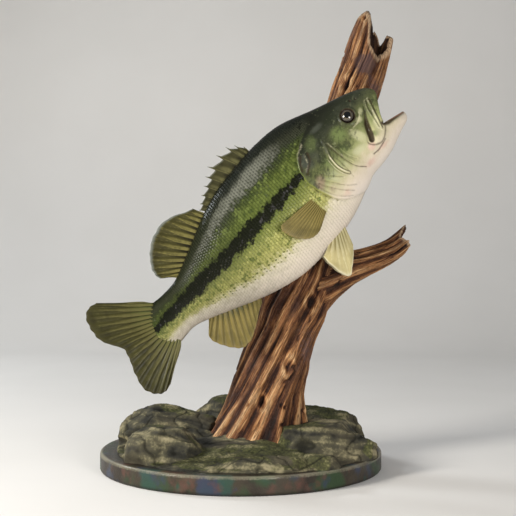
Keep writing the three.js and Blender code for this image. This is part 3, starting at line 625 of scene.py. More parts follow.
# ---------------------------------------------------------------- skin
SIDES = 288
SPACING = {"trunk": 3.0, "head": 0.88, "mouth": 2.2}  # between the skin's rings
RING_SAMPLES = 2600  # places where the distance between rings is measured


def ring_rows():
    """Row numbers for the skin's rings, close together on the head."""
    at = np.linspace(0, THROAT_ROW, RING_SAMPLES)
    flank = body_point(at, np.full(at.shape, np.pi / 2))
    back = body_point(at, np.zeros(at.shape))
    step = np.maximum(
        np.linalg.norm(np.diff(flank, axis=0), axis=1), 0.8 * np.linalg.norm(np.diff(back, axis=0), axis=1)
    )
    spacing = mix(SPACING["trunk"], SPACING["head"], smooth((back[1:, 0] - HEAD_CLEAR) / 15))
    spacing = mix(spacing, SPACING["mouth"], smooth(at[1:] - GAPE_ROW))
    count = np.concatenate([[0], np.cumsum(step / spacing)])
    return np.interp(np.arange(int(count[-1]) + 1), count, at)


def skin_mesh(finish):
    """The whole skin as rings of points, from the tail base to the lips and in to the throat."""
    at = ring_rows()
    rows, angles = np.meshgrid(at, round_angles(SIDES)[0], indexing="ij")
    points, _, _, x, z = skin_point(rows, angles)
    faces = grid_faces(len(at), SIDES, closed=True)
    last = (len(at) - 1) * SIDES
    points = np.vstack([points.reshape(-1, 3), points[0].mean(0), points[-1].mean(0)])
    faces += fan_faces(list(range(SIDES)), len(points) - 2, True)
    faces += fan_faces(list(range(last, last + SIDES)), len(points) - 1, False)
    fields = markings(rows, x, z, head_share(x, z))
    fields = {k: np.append(v.ravel(), [v[0].mean(), v[-1].mean()]) for k, v in fields.items()}
    made = make_object("fish_skin", to_world(points), faces, finish, fields)
    return face_outwards(made)


# ---------------------------------------------------------------- scales
SCALE_PITCH = {"length": 3.9, "height": 5.0}  # along the body and across it, on the flank
SCALE_SPAN = [-15.0, 346.0]  # x of the first and the last place for scales
# Shares of the full size, at the tail and at the nape, and where they begin and fade.
SCALE_TAIL = {"x": -20.0, "fade": 190.0, "size": 0.66}
SCALE_NAPE = {"x": 270.0, "fade": 60.0, "size": 0.62}
# One scale against its pitch: length, width, thickness, slope, and how far back and out it is set.
SCALE = {"long": 2.1, "wide": 1.36, "thick": 4.6, "slope": 0.115, "back": 0.45, "out": 0.12}
SCALE_FLAT = {"x": 290.0, "fade": 40.0, "share": 0.15}  # towards the nape the scales lie flat
SCALE_PATCH = 0.003  # how much of the coat's colour map one scale takes
DOTTED_ROWS = [[-0.49, 0.7], [-0.56, 1.0], [-0.63, 0.8]]  # zone of each row of dots, strength
COAT_SPANS = {"tail": [-40, 165], "flank": [165, 344]}  # the coat's pieces, from x to x
COAT_OVER = {"search": 0.12, "keep": 0.05}  # radians past the body's middle for its roots
COAT_FRONT = {"gill": -0.4, "nape": 50.0, "trunk": 250.0}  # limits against the gill cover, in z and in x
COAT_MAP = {"from": -20.0, "length": 400.0, "margin": 0.05}  # how the coat is laid out on its colour map


def scale_shape():
    """One scale, 1 long and 1 wide: x runs from its hidden root to its round rear edge."""
    columns, rows = 5, 4
    v, u = np.meshgrid(np.linspace(-1, 1, columns), np.linspace(0, 1, rows))
    x = u * (0.42 + 0.58 * np.sqrt(1 - 0.9 * v * v))
    y = 0.5 * v * (0.72 + 0.28 * np.minimum(1, 2.2 * u))
    z = 0.035 * (1 - v * v) - 0.05 * v * v - 0.03 * u**6
    top = np.stack([x, y, z], -1).reshape(-1, 3)
    rim = top[-columns:] + [-0.03, 0, -0.075]
    points = np.vstack([top, rim])
    faces = grid_faces(rows, columns)
    start = (rows - 1) * columns
    faces += [[start + i + 1, start + i, len(top) + i, len(top) + i + 1] for i in range(columns - 1)]
    edge = np.append(0.02 + 0.98 * u.ravel() * (1 - 0.05 * v.ravel() ** 2), np.ones(columns))
    fields = {"rim": edge, "on_scale": points * [1, 1, 0] - [0.5, 0, 0]}
    return make_object("scale_shape", points / MM, [f[::-1] for f in faces], None, fields)


def scale_columns():
    """Places along the body, from the tail base to the nape, each a scale apart."""
    x, places = SCALE_SPAN[0], []
    while x < SCALE_SPAN[1]:
        size = row_size(x)
        places.append((x, size))
        x += SCALE_PITCH["length"] * size
    return places


def row_size(x):
    """How large the scales are at x, against the largest on the flank."""
    grown = mix(SCALE_TAIL["size"], 1.0, past(x, SCALE_TAIL))
    return grown * mix(1.0, SCALE_NAPE["size"], past(x, SCALE_NAPE))


def scale_roots(side):
    """Roots of one side's scales on a lattice that follows the stripe, as rows, angles and sizes."""
    steep = slice(40, -40)  # the flank, where height falls steadily
    turn = np.linspace(-COAT_OVER["search"], np.pi + COAT_OVER["search"], 260)
    signed = turn if side < 0 else -turn
    roots = []
    for number, (x, size) in enumerate(scale_columns()):
        at = row_for_flank(x)
        line = body_point(np.full(turn.shape, at), signed)
        arc = np.concatenate([[0], np.cumsum(np.linalg.norm(np.diff(line, axis=0), axis=1))])
        centre = np.interp(x, *np.transpose(STRIPE))
        start = np.interp(-centre, -line[steep, 2], arc[steep])
        pitch = SCALE_PITCH["height"] * size
        shift = 0.5 * (number % 2)
        for j in range(-50, 51):
            reach = start - (j + shift) * pitch
            if 0 <= reach <= arc[-1]:
                roots.append((at, np.interp(reach, arc, turn), size))
    return np.array(roots).T


def row_for_flank(x):
    """The row number of the section whose side is at x."""
    rows = np.linspace(0, LIPS_ROW - 1, 600)
    return float(np.interp(x, body_point(rows, np.full(rows.shape, np.pi / 2))[:, 0], rows))


def coat_points(name, side, span):
    """The roots of one side's scales along a span of x, with how each lies and how it is coloured."""
    at, angle, size = scale_roots(side)
    turned = angle if side < 0 else 2 * np.pi - angle
    point, outward, ahead, x, z = skin_point(at, turned)
    head = head_share(x, z)
    gill = path_distance(GILL_EDGE, x, z)
    keep = (gill < COAT_FRONT["gill"]) | (z > COAT_FRONT["nape"]) | (x < COAT_FRONT["trunk"])
    keep &= (angle > -COAT_OVER["keep"]) & (angle < np.pi + COAT_OVER["keep"])
    keep &= (x >= span[0]) & (x < span[1])
    fields = markings(at, x, z, head)
    map_across = mix(COAT_MAP["margin"], 1 - COAT_MAP["margin"], clamp01(angle / np.pi))
    length = SCALE_PITCH["length"] * size * SCALE["long"]
    width = SCALE_PITCH["height"] * size * SCALE["wide"]
    thick = mix(1.0, SCALE_FLAT["share"], past(x, SCALE_FLAT))
    slope = (SCALE["slope"] * thick)[:, None]
    fields.update({
        "outward": to_world(outward + ahead * slope) - FISH_AT,
        "lie": to_world(outward * slope - ahead) - FISH_AT,
        "size": np.stack([length, width, SCALE["thick"] * thick * size], -1) * MM,
        "bake_at": np.stack([(x - COAT_MAP["from"]) / COAT_MAP["length"], map_across, 0 * x], -1),
        "tone": random_cells(np.stack([np.round(x * 7), np.round(z * 7), 0 * x], -1), 3),
        "dot": dotted_rows(fields["zone"], x),
    })
    place = to_world(point + outward * SCALE["out"] + ahead * (SCALE["back"] * length)[:, None])
    return make_object(name, place[keep], [], None, {k: v[keep] for k, v in fields.items()})


def repaint(coat, own=0.45):
    """Mixes each scale's marks with those of the places that it covers, so that no band is stepped."""
    mesh = coat.data
    x, _, z = np.moveaxis(to_fish(point_rows(mesh, "co") / MM), -1, 0)
    marks = markings(row_of(x), x, z, head_share(x, z))
    for key, here in marks.items():
        layer = mesh.attributes[key].data
        given = np.empty(len(here), np.float32)
        layer.foreach_get("value", given)
        layer.foreach_set("value", mix(here, given, own).astype(np.float32))


def dotted_rows(zone, x):
    """1 on the scales that carry a dark dot, in rows along the lower edge of the green."""
    rows = sum(strength * bump(zone - level, 0.022) for level, strength in DOTTED_ROWS)
    return rows * smooth((x - 45) / 25) * smooth((235 - x) / 40)


def coat_tree(name):
    """Geometry nodes that set a scale on every root and join them into one mesh."""
    tree = bpy.data.node_groups.new(name, "GeometryNodeTree")
    for name, kind, way in (
        ("Roots", "Geometry", "INPUT"), ("Scale shape", "Object", "INPUT"), ("Finish", "Material", "INPUT"),
        ("Unevenness", "Float", "INPUT"), ("Map patch", "Float", "INPUT"), ("Coat", "Geometry", "OUTPUT"),
    ):
        tree.interface.new_socket(name, in_out=way, socket_type=f"NodeSocket{kind}")
    given = add_node(tree, "NodeGroupInput").outputs
    mark = {
        key: add_node(
            tree, "GeometryNodeInputNamedAttribute", {"Name": key}, data_type="FLOAT_VECTOR"
        ).outputs[0]
        for key in ("outward", "lie", "size", "on_scale", "bake_at")
    }
    shape = add_node(tree, "GeometryNodeObjectInfo", {"Object": given["Scale shape"]})
    axes = add_node(tree, "FunctionNodeAxesToRotation", {0: mark["outward"], 1: mark["lie"]})
    low, high = (
        add_node(
            tree, "ShaderNodeVectorMath", {0: (end, end, end), "Scale": given["Unevenness"]},
            operation="SCALE",
        )
        for end in (-1, 1)
    )
    jitter = add_node(
        tree, "FunctionNodeRandomValue", {"Min": low.outputs[0], "Max": high.outputs[0], "Seed": 7},
        data_type="FLOAT_VECTOR",
    )
    turned = add_node(
        tree, "FunctionNodeRotateRotation", {0: axes.outputs[0], 1: jitter.outputs[0]}, rotation_space="LOCAL"
    )
    placed = add_node(tree, "GeometryNodeInstanceOnPoints", {
        "Points": given["Roots"], "Instance": shape.outputs["Geometry"], "Rotation": turned.outputs[0],
        "Scale": mark["size"],
    })
    joined = add_node(tree, "GeometryNodeRealizeInstances", {"Geometry": placed.outputs[0]})
    spread = add_node(
        tree, "ShaderNodeVectorMath", {0: mark["on_scale"], "Scale": given["Map patch"]}, operation="SCALE"
    )
    ends = {0: mark["bake_at"], 1: spread.outputs[0]}
    spot = add_node(tree, "ShaderNodeVectorMath", ends, operation="ADD")
    mapped = add_node(
        tree, "GeometryNodeStoreNamedAttribute",
        {"Geometry": joined.outputs[0], "Name": "OFBake", "Value": spot.outputs[0]},
        data_type="FLOAT2", domain="CORNER",
    )
    finished = add_node(
        tree, "GeometryNodeSetMaterial", {"Geometry": mapped.outputs[0], "Material": given["Finish"]}
    )
    add_node(tree, "NodeGroupOutput", {"Coat": finished.outputs[0]})
    return tree


def set_inputs(modifier, values):
    """Sets a geometry nodes modifier's inputs, given by their names."""
    for item in modifier.node_group.interface.items_tree:
        if item.in_out == "INPUT" and item.name in values:
            modifier[item.identifier] = values[item.name]


# ---------------------------------------------------------------- fins
TAIL_BASE = [[8, 30], [-2, 20], [-8, 8], [-10, -3], [-8, -15], [-4, -26], [0, -34]]
TAIL_MARGIN = [
    [-47, 83], [-58, 85.5], [-69, 80], [-76, 66], [-78.5, 51], [-74.5, 35], [-67, 21], [-63, 9],
    [-67, -4], [-74, -20], [-78.5, -37], [-78, -54], [-71, -65], [-62, -69], [-51, -66.5],
]
SOFT_BASE = [[146, 66], [125, 57], [100, 46], [78, 36], [60, 29]]
SOFT_MARGIN = [
    [137, 87], [125, 91], [112, 98], [96, 101.5], [80, 99.5], [66, 93.5], [53, 84], [43, 72.5],
    [37, 60], [37.5, 49], [47, 41.5],
]
ANAL_BASE = [[122, -64], [104, -56], [84, -47], [66, -40], [52, -35]]
ANAL_MARGIN = [
    [116, -74.5], [105, -80], [92, -89], [80, -96], [68, -101], [57, -101.5], [47, -95], [38, -82.5],
    [31.5, -69], [31, -57], [41, -46.5],
]
# The spines of the front back fin, from the first: foot and tip.
SPINES = [
    [[250, 91], [248, 99.5]], [[246, 90.5], [240, 110]], [[239, 90], [229.5, 117]],
    [[227, 88.5], [212, 118]], [[211, 86.5], [192, 115]], [[196, 84], [180.5, 107]],
    [[183, 82], [170, 99]], [[171, 79.5], [158.5, 92]], [[160, 77], [149, 84.5]], [[152, 74], [142, 79]],
]
WEB = {"low": 0.66, "high": 0.8}  # height of the web behind a spine and before the next, as shares
# The paired fins, as x, z and y from the upper or front ray to the last.
BREAST_ROOT = [[272, -19, 42], [272, -27, 41], [271, -35, 39], [269, -43, 37]]
BREAST_EDGE = [
    [208, -16, 61], [203.5, -24, 62], [207, -36, 60.5], [214, -47, 58], [225, -56, 55.5], [238, -57.5, 52],
    [254, -50, 46],
]
FOLDED = 0.16  # the left breast fin lies flat and keeps this share of the spread
FOLDED_LIFT = 3.4  # and its tips rest this far off the flank
BELLY_ROOT = [[272, -76, 12], [264, -77, 14], [256, -76.5, 15], [246, -77, 15]]
BELLY_EDGE = [
    [262, -103, 17], [253, -113, 19], [240, -124, 22], [229, -131.5, 24], [223, -120, 25], [220.5, -101, 24],
    [221, -87, 19],
]
# How each kind of fin is made: the share of its length where the rays split, then in millimetres the half
# width and the height of a ray and the web's thickness at the root, the rays' length and the web's folds.
SOFT_FIN = {"split": 0.42, "ray": 1.15, "rise": 0.85, "web": 1.3, "length": 60.0, "pleat": 0.75, "seed": 1}
TAIL_FIN = {"split": 0.3, "ray": 1.3, "rise": 1.0, "web": 3.2, "length": 75.0, "pleat": 0.8, "seed": 2}
BREAST_FIN = {"split": 0.45, "ray": 1.0, "rise": 0.6, "web": 1.4, "length": 60.0, "seed": 3}
BELLY_FIN = {**BREAST_FIN, "ray": 1.3}
SPINY_FIN = {"split": 2, "ray": 1.25, "rise": 1.0, "web": 1.2, "length": 1.0}
RAY_TIP = {"width": 0.42, "rise": 0.22, "web": 0.5}  # what is left of a ray and the web at the margin
JOINT = {"length": 1.9, "depth": 0.22, "from": 0.3}  # joints of the rays, from a share of their length
RAGGED = 0.012  # how far a ray reaches past the web, as a share of its length


def ray_lines(turn, out, rays, split):
    """How near each point of a fin is to a ray, in shares of the way to the next; rays fork outwards."""
    first = 0.25 * smooth((out - split) / 0.4)
    second = 0.115 * smooth((out - split - 0.28) / 0.35)
    away = np.abs(turn * rays - np.round(turn * rays))
    return np.abs(np.abs(away - first) - second)


def fin_sheet(name, middle, turn, out, rays, finish, spec):
    """A closed thin sheet on a grid of points: rays stand out of a web on both its sides."""
    across = np.gradient(middle, axis=0)
    outward = unit(np.cross(across, np.gradient(middle, axis=1)))
    gap = np.linalg.norm(across, axis=-1) * (len(turn) - 1) / rays
    near = ray_lines(turn[:, None], out[None, :], rays, spec["split"])
    width = mix(spec["ray"], RAY_TIP["width"], out[None, :] ** 0.7)
    ray = np.exp(-((near * gap / width) ** 2))
    joints = 0.5 + 0.5 * np.cos(2 * np.pi * out[None, :] * spec["length"] / JOINT["length"])
    rise = mix(spec["rise"], RAY_TIP["rise"], out[None, :] ** 0.8) * ray
    rise = rise * (1 - JOINT["depth"] * joints * smooth((out[None, :] - JOINT["from"]) / 0.2))
    thick = mix(spec["web"], RAY_TIP["web"], smooth(out[None, :] * 1.4)) / 2 + rise
    front, back = middle + outward * thick[..., None], middle - outward * thick[..., None]
    rows, columns = len(turn), len(out)
    count = rows * columns
    faces = grid_faces(rows, columns)
    faces += [[i + count for i in face[::-1]] for face in grid_faces(rows, columns)]
    edge = [r * columns for r in range(rows)] + [(rows - 1) * columns + c for c in range(1, columns)]
    edge += [r * columns + columns - 1 for r in range(rows - 2, -1, -1)] + list(range(columns - 2, 0, -1))
    faces += [[a, b, b + count, a + count] for a, b in zip(edge, edge[1:] + edge[:1])]
    pleat = np.sin(2 * np.pi * rays * turn)[:, None] * smooth(1.15 - out)
    shared = {"ray": ray, "out": np.broadcast_to(out, ray.shape), "pleat": pleat}
    both = {key: np.tile(value.ravel(), 2) for key, value in shared.items()}
    points = to_world(np.vstack([front.reshape(-1, 3), back.reshape(-1, 3)]))
    made = make_object(name, points, faces, finish, both)
    return face_outwards(made)


def fin_grid(rays, steps, down):
    """Shares of the way across and out, with a number of steps from ray to ray and from foot to tip."""
    return np.linspace(0, 1, rays * steps + 1), np.linspace(0, 1, down + 1)


def ragged(turn, rays, seed):
    """A small unevenness of a fin's margin: rays reach past the web between them."""
    swing = 0.5 + 0.5 * np.cos(2 * np.pi * turn * rays)
    return RAGGED * (swing + noise(np.stack([turn * rays, 0 * turn, 0 * turn], -1), 0.9, seed))


def fanned(foot, tip, turn, out, rays, seed):
    """A fin's grid of points, between the feet and the tips of its rays."""
    reach = out[None, :, None] * (1 + ragged(turn, rays, seed))[:, None, None]
    return foot[:, None, :] + (tip - foot)[:, None, :] * reach


def wavy(turn, out, scale, seed):
    """Slow noise over a fin's grid."""
    lie = np.stack(np.broadcast_arrays(turn[:, None] * scale[0], out[None, :] * scale[1], 0), -1)
    return noise(lie, 1, seed, 2)


def middle_fin(name, base, margin, rays, wave, spec, finish):
    """A fin in the middle of the body, its rays fanned from base to margin."""
    turn, out = fin_grid(rays, 12, 46)
    flat = fanned(along(base, turn), along(margin, turn), turn, out, rays, spec["seed"])
    curl = wavy(turn, out, (5, 1.5), spec["seed"])
    sway = out * (wave * np.sin(2.2 * np.pi * turn)[:, None] + 1.3 * curl)
    sway = sway + spec["pleat"] * smooth(3 * out) * np.sin(2 * np.pi * turn * rays)[:, None]
    middle = np.stack([flat[..., 0], sway + bend_at(flat[..., 0]), flat[..., 1]], -1)
    return fin_sheet(name, middle, turn, out, rays, finish, spec)


def spiny_fin(finish):
    """The front back fin: hard spines with a web that dips behind each."""
    turn, out = fin_grid(len(SPINES) - 1, 14, 34)
    at = turn * (len(SPINES) - 1)
    i = np.minimum(at.astype(int), len(SPINES) - 2)
    t = at - i
    foot = np.array([s[0] for s in SPINES], float)
    tip = np.array([s[1] for s in SPINES], float)
    base = mix(foot[i], foot[i + 1], t[:, None])
    web = mix(WEB["low"], WEB["high"], smooth(t)) - 0.05 * np.sin(np.pi * t)
    height = np.where(t < 0.12, mix(1, WEB["low"], smooth(t / 0.12)), web)
    height = np.where(t > 0.94, mix(WEB["high"], 1, smooth((t - 0.94) / 0.06)), height)
    edge = base + (mix(tip[i], tip[i + 1], t[:, None]) - base) * height[:, None]
    root = base + [0, -8]
    flat = root[:, None, :] + (edge - root)[:, None, :] * out[None, :, None]
    slack = 0.9 * np.sin(2 * np.pi * at)[:, None] * out
    middle = np.stack([flat[..., 0], slack + bend_at(flat[..., 0]), flat[..., 1]], -1)
    return fin_sheet("spiny_back_fin", middle, turn, out, len(SPINES) - 1, finish, SPINY_FIN)


def side_fin(name, root, edge, side, rays, cup, spec, finish, folded=1.0):
    """A paired fin, cupped a little away from the body."""
    turn, out = fin_grid(rays, 12, 40)
    foot, tip = along(root, turn), along(edge, turn)
    if folded < 1:
        resting = flank_at(tip[:, 0], tip[:, 1])[0] - bend_at(tip[:, 0]) + FOLDED_LIFT
        tip[:, 2] = mix(resting, tip[:, 2], folded)
    grid = fanned(foot, tip, turn, out, rays, spec["seed"])
    hollow = cup * np.sin(np.pi * out) + 0.9 * out * wavy(turn, out, (4, 1), spec["seed"])
    y = side * (grid[..., 2] + hollow) + bend_at(grid[..., 0])
    middle = np.stack([grid[..., 0], y, grid[..., 1]], -1)
    return fin_sheet(name, middle, turn, out, rays, finish, spec)


# ---------------------------------------------------------------- eyes and tongue
PUPIL = 4.8  # radius
CORNEA = {"rise": 0.1, "width": 0.62}  # share by which the glass bulges, and its width in radians


def eye_ball(name, side, finish):
    """An eyeball whose pole looks out of the head; gaze is the distance from the pole."""
    rings, around = 48, 64
    polar = np.linspace(0, np.pi, rings)[:, None]
    turn = round_angles(around)
    cornea = 1 + CORNEA["rise"] * bump(polar, CORNEA["width"])
    points = np.stack(np.broadcast_arrays(
        EYE["radius"] * np.sin(polar) * np.cos(turn),
        side * EYE["depth"] * np.cos(polar) * cornea,
        EYE["radius"] * np.sin(polar) * np.sin(turn),
    ), -1)
    x, y, z = np.moveaxis(points, -1, 0)
    y, z = spun(y, z, side * math.radians(EYE["roll"]))
    x, y = spun(x, y, -side * math.radians(EYE["turn"]))
    centre = [EYE["x"], side * EYE["y"] + bend_at(EYE["x"]), EYE["z"]]
    placed = np.stack([x, y, z], -1) + centre
    gaze = np.broadcast_to(EYE["radius"] * np.sin(np.minimum(polar, np.pi / 2)), x.shape)
    faces = grid_faces(rings, around, closed=True)
    made = make_object(name, to_world(placed), faces, finish, {"gaze": gaze.ravel()})
    return face_outwards(made, WELD)


TONGUE = {"x": 398.0, "z": -25.0, "half": [26.0, 12.0, 6.0], "tilt": 0.12}


def tongue_mesh(finish):
    """A flat tongue with a hollow down its middle and a rounded tip."""
    rings, around = 56, 48
    share = np.linspace(0, 1, rings)[:, None]
    turn = round_angles(around)
    reach = np.sqrt(np.maximum(1 - (2 * share - 1) ** 2, 0)) ** 0.8
    x = (2 * share - 1) * TONGUE["half"][0] + 0 * turn
    y = TONGUE["half"][1] * reach * np.cos(turn)
    z = TONGUE["half"][2] * reach * np.sin(turn)
    z = z - 1.5 * bump(y, 3.5) * (np.sin(turn) > 0) * reach
    z = z + 0.35 * noise(np.stack([x, y, z], -1), 3.0, 8, 2)
    x, z = spun(x, z, -TONGUE["tilt"])
    points = np.stack([x + TONGUE["x"], y + bend_at(TONGUE["x"]), z + TONGUE["z"]], -1)
    made = make_object("tongue_flesh", to_world(points), grid_faces(rings, around, closed=True), finish)
    return face_outwards(made, 10 * WELD)


# ---------------------------------------------------------------- driftwood
# The trunk's middle line with its half width and half depth: x, y, z, half x, half y.
TRUNK = [
    [22, 6, 25.6, 71, 58], [25, 6, 44, 65, 54], [29, 6, 66, 60, 48], [36, 8, 100, 52, 43],
    [51, 12, 150, 48, 39], [67, 16, 200, 44, 36], [85, 21, 250, 43, 34], [100, 25, 300, 37, 34],
    [121, 27, 375, 33.5, 34], [142, 31, 450, 33, 33], [158, 39, 505, 33.5, 29],
    [170, 44, 545, 34, 27], [184, 47, 590, 33, 25],
]
WOOD_FOLDS = [[5, 0.055, 0.4], [8, 0.04, 1.9]]  # broad folds round it: number, share, phase
WOOD_TWIST = 0.0042  # radians of turn for each millimetre up, as far as the crown
FLUTES = 16  # ridges with furrows between them
FLUTE_DEPTH = {"stem": 2.2, "foot": 2.6}  # a ridge's height over the mean, and what the foot adds
FLUTE_FOOT = {"top": 190.0, "reach": 150.0, "power": 1.5}  # where the foot's share begins, and how it grows
FLUTE_SHIFTS = [[2, 0.1, 1], [5, 0.05, 2.5]]  # uneven spacing of the ridges: number, radians, phase
FLUTE_SWELL = {"number": 3, "share": 0.3, "phase": 0.6}  # some ridges are higher than others
FLUTE_WORN = {"from": 420.0, "reach": 120.0, "share": 0.35}  # upwards the ridges are worn lower
# The broken top: height of the rim by degrees round it, from +X over the front.
CROWN = [
    [0, 624], [12, 612], [28, 601], [50, 593], [72, 595], [88, 605], [100, 622], [112, 642], [122, 656],
    [142, 662], [160, 660], [180, 656], [200, 659], [218, 662], [232, 660], [240, 654], [246, 641],
    [252, 635], [266, 636], [282, 636], [291, 628], [300, 616], [308, 616], [316, 622], [328, 627],
    [348, 627], [360, 624],
]
CROWN_LEAN = 0.27  # millimetres of lean for each millimetre above the trunk's last row
CROWN_TAPER = 0.00165  # how fast it thins there, by the square of the height
CROWN_JAGS = 3.0  # height of the splinters along the rim
CROWN_WORN = {"height": 7.0, "edge": 3.5}  # height over which the rim is worn thin, and by how much
CROWN_FLOOR = 596.0  # level to which the inside falls off
# The rotted core: share of the rim, and drop below it.
HOLLOW = [[0.93, -0.6], [0.84, 1], [0.72, 9], [0.6, 20], [0.45, 34]]
TOES = [[105, 26], [62, 20], [150, 10], [205, 14], [300, 18], [10, 12]]  # degrees round the foot, reach
TOE = {"top": 95.0, "fade": 70.0, "narrow": 14}  # up to where a toe can be seen, and how narrow it is
# The branch's middle line and its half thickness: x, y, z, half.
BRANCH = [
    [80, 22, 232, 44], [104, 22, 250, 39], [130, 21, 265, 28.5], [154, 19, 279, 24], [178, 17, 289, 20],
    [200, 16, 298.5, 17.5], [220, 15, 309, 16], [235, 14, 317, 15],
]
BRANCH_DEEPEST = 31.0  # most of its half thickness from front to back, inside the trunk
BRANCH_TWIST = 0.006  # radians of turn for each millimetre along it
BRANCH_RIBS = {"number": 10, "height": 1.3}  # ribs that run along it
BRANCH_GRAIN = 900  # moves the branch's grain away from the trunk's
BRANCH_HOLLOW = [[0.9, 0.3], [0.75, 3], [0.5, 8], [0.3, 10]]  # share of the end, and depth behind it
BRANCH_TIPS = [[0.35, 26, 1.1], [-1.9, 17, 0.8], [2.9, 8, 0.6]]  # angle round the end, reach, half width
KNOTS = [[67, 144, 9], [182, 650, 4], [153, 550, 8], [97, 235, 8], [30, 95, 7], [128, 430, 8]]  # x, z, radius
# Grey, rotten patches: x, z, half length, half height, degrees turned, strength.
ROTTEN = [
    [181, 579, 15, 15, 10, 1.0], [184, 560, 9, 12, 0, 0.6], [139, 470, 20, 22, 20, 0.6],
    [189, 520, 11, 60, -14, 0.5], [96, 168, 14, 26, 0, 0.4],
]
SEAT_GAP = 0.5  # left between the fish and the wood behind it
# Where the folded left breast fin lies, half its length and height, and the room that it takes.
SEAT_FIN = {"x": 238.0, "z": -36.0, "long": 34.0, "tall": 24.0, "room": 6.5}
GILL_REAR = 272.0  # the gill cover stands off the body ahead of this x
GRAIN_RADIUS = {"trunk": 42, "branch": 30}  # of the plain stems round which the grain is wound
# Heights of the weathering in millimetres: long cracks, splits, fibres, rot holes, knots and their rims.
WOOD_RELIEF = {"cracks": 2.1, "splits": 1.2, "fibres": 0.5, "pits": 2.6, "knot": 3.0, "knot_rim": 1.8}


def fibres(place, x, z):
    """Cracks and fibres of weathered wood, as height; place is wound round the stem and runs along it."""
    swirl = 5 * noise(place, [30, 30, 80], 31, 2)
    bent = place + np.stack([swirl, -swirl, 0 * swirl], -1)
    mid = ridges(bent, [9, 9, 120], 9, 2)
    split = ridges(bent, [4.2, 4.2, 60], 2, 2)
    fine = noise(bent, [1.7, 1.7, 26], 14, 2)
    pits = noise(place, [6, 6, 13], 23, 2)
    relief = WOOD_RELIEF["cracks"] * (clamp01(mid) ** 0.8 - 0.6) + WOOD_RELIEF["splits"] * (split - 0.5)
    relief += WOOD_RELIEF["fibres"] * fine - WOOD_RELIEF["pits"] * smooth((pits - 0.5) / 0.2)
    for kx, kz, radius in KNOTS:
        away = np.hypot(x - kx, 0.6 * (z - kz))
        relief += WOOD_RELIEF["knot_rim"] * bump(away - radius, 0.35 * radius)
        relief -= WOOD_RELIEF["knot"] * bump(away, 0.5 * radius)
    return relief


def flute_height(turn, z):
    """Ridges and furrows down the stem: round-backed ridges with narrow furrows."""
    foot = clamp01((FLUTE_FOOT["top"] - z) / FLUTE_FOOT["reach"]) ** FLUTE_FOOT["power"]
    deep = FLUTE_DEPTH["stem"] + FLUTE_DEPTH["foot"] * foot
    share = FLUTE_SWELL["share"]
    deep = deep * (1 - share + share * np.sin(FLUTE_SWELL["number"] * turn + FLUTE_SWELL["phase"]))
    deep = deep * (1 - FLUTE_WORN["share"] * smooth((z - FLUTE_WORN["from"]) / FLUTE_WORN["reach"]))
    return deep * (2 * (0.5 + 0.5 * np.cos(FLUTES * turn)) ** 0.7 - 1)


def trunk_row(z):
    """The trunk's middle line and half thickness at any height, by height."""
    table = np.array(TRUNK, float)
    up = np.maximum(0, z - table[-1, 2])
    row = [np.interp(z, table[:, 2], table[:, k]) for k in (0, 1, 3, 4)]
    taper = CROWN_TAPER * up**2
    return row[0] + CROWN_LEAN * up, row[1], row[2] - taper, row[3] - taper


def hollow_stem(name, outer, inner, place, bare, tip, finish):
    """A stem from rings of points and rings inside its broken end, with the numbers that colour it."""
    rings, around = outer.shape[:2]
    points = np.vstack([outer.reshape(-1, 3), *inner, inner[-1].mean(0)[None], outer[0].mean(0)[None]])
    middle = (rings + len(inner)) * around
    faces = grid_faces(rings + len(inner), around, closed=True)
    faces += fan_faces(list(range(middle - around, middle)), middle, False)
    faces += fan_faces(list(range(around)), middle + 1, True)
    lining = [place[-1] * [0.8, 0.8, 1]] * len(inner)
    grain = np.vstack([place.reshape(-1, 3), *lining, place[-1][:1], place[0][:1]])
    fields = {
        "grain": grain * MM, "bare": bare, "broken": broken_patch(points),
        "tip": np.pad(tip, (0, len(points) - len(tip))),
    }
    return face_outwards(make_object(name, points, faces, finish, fields))


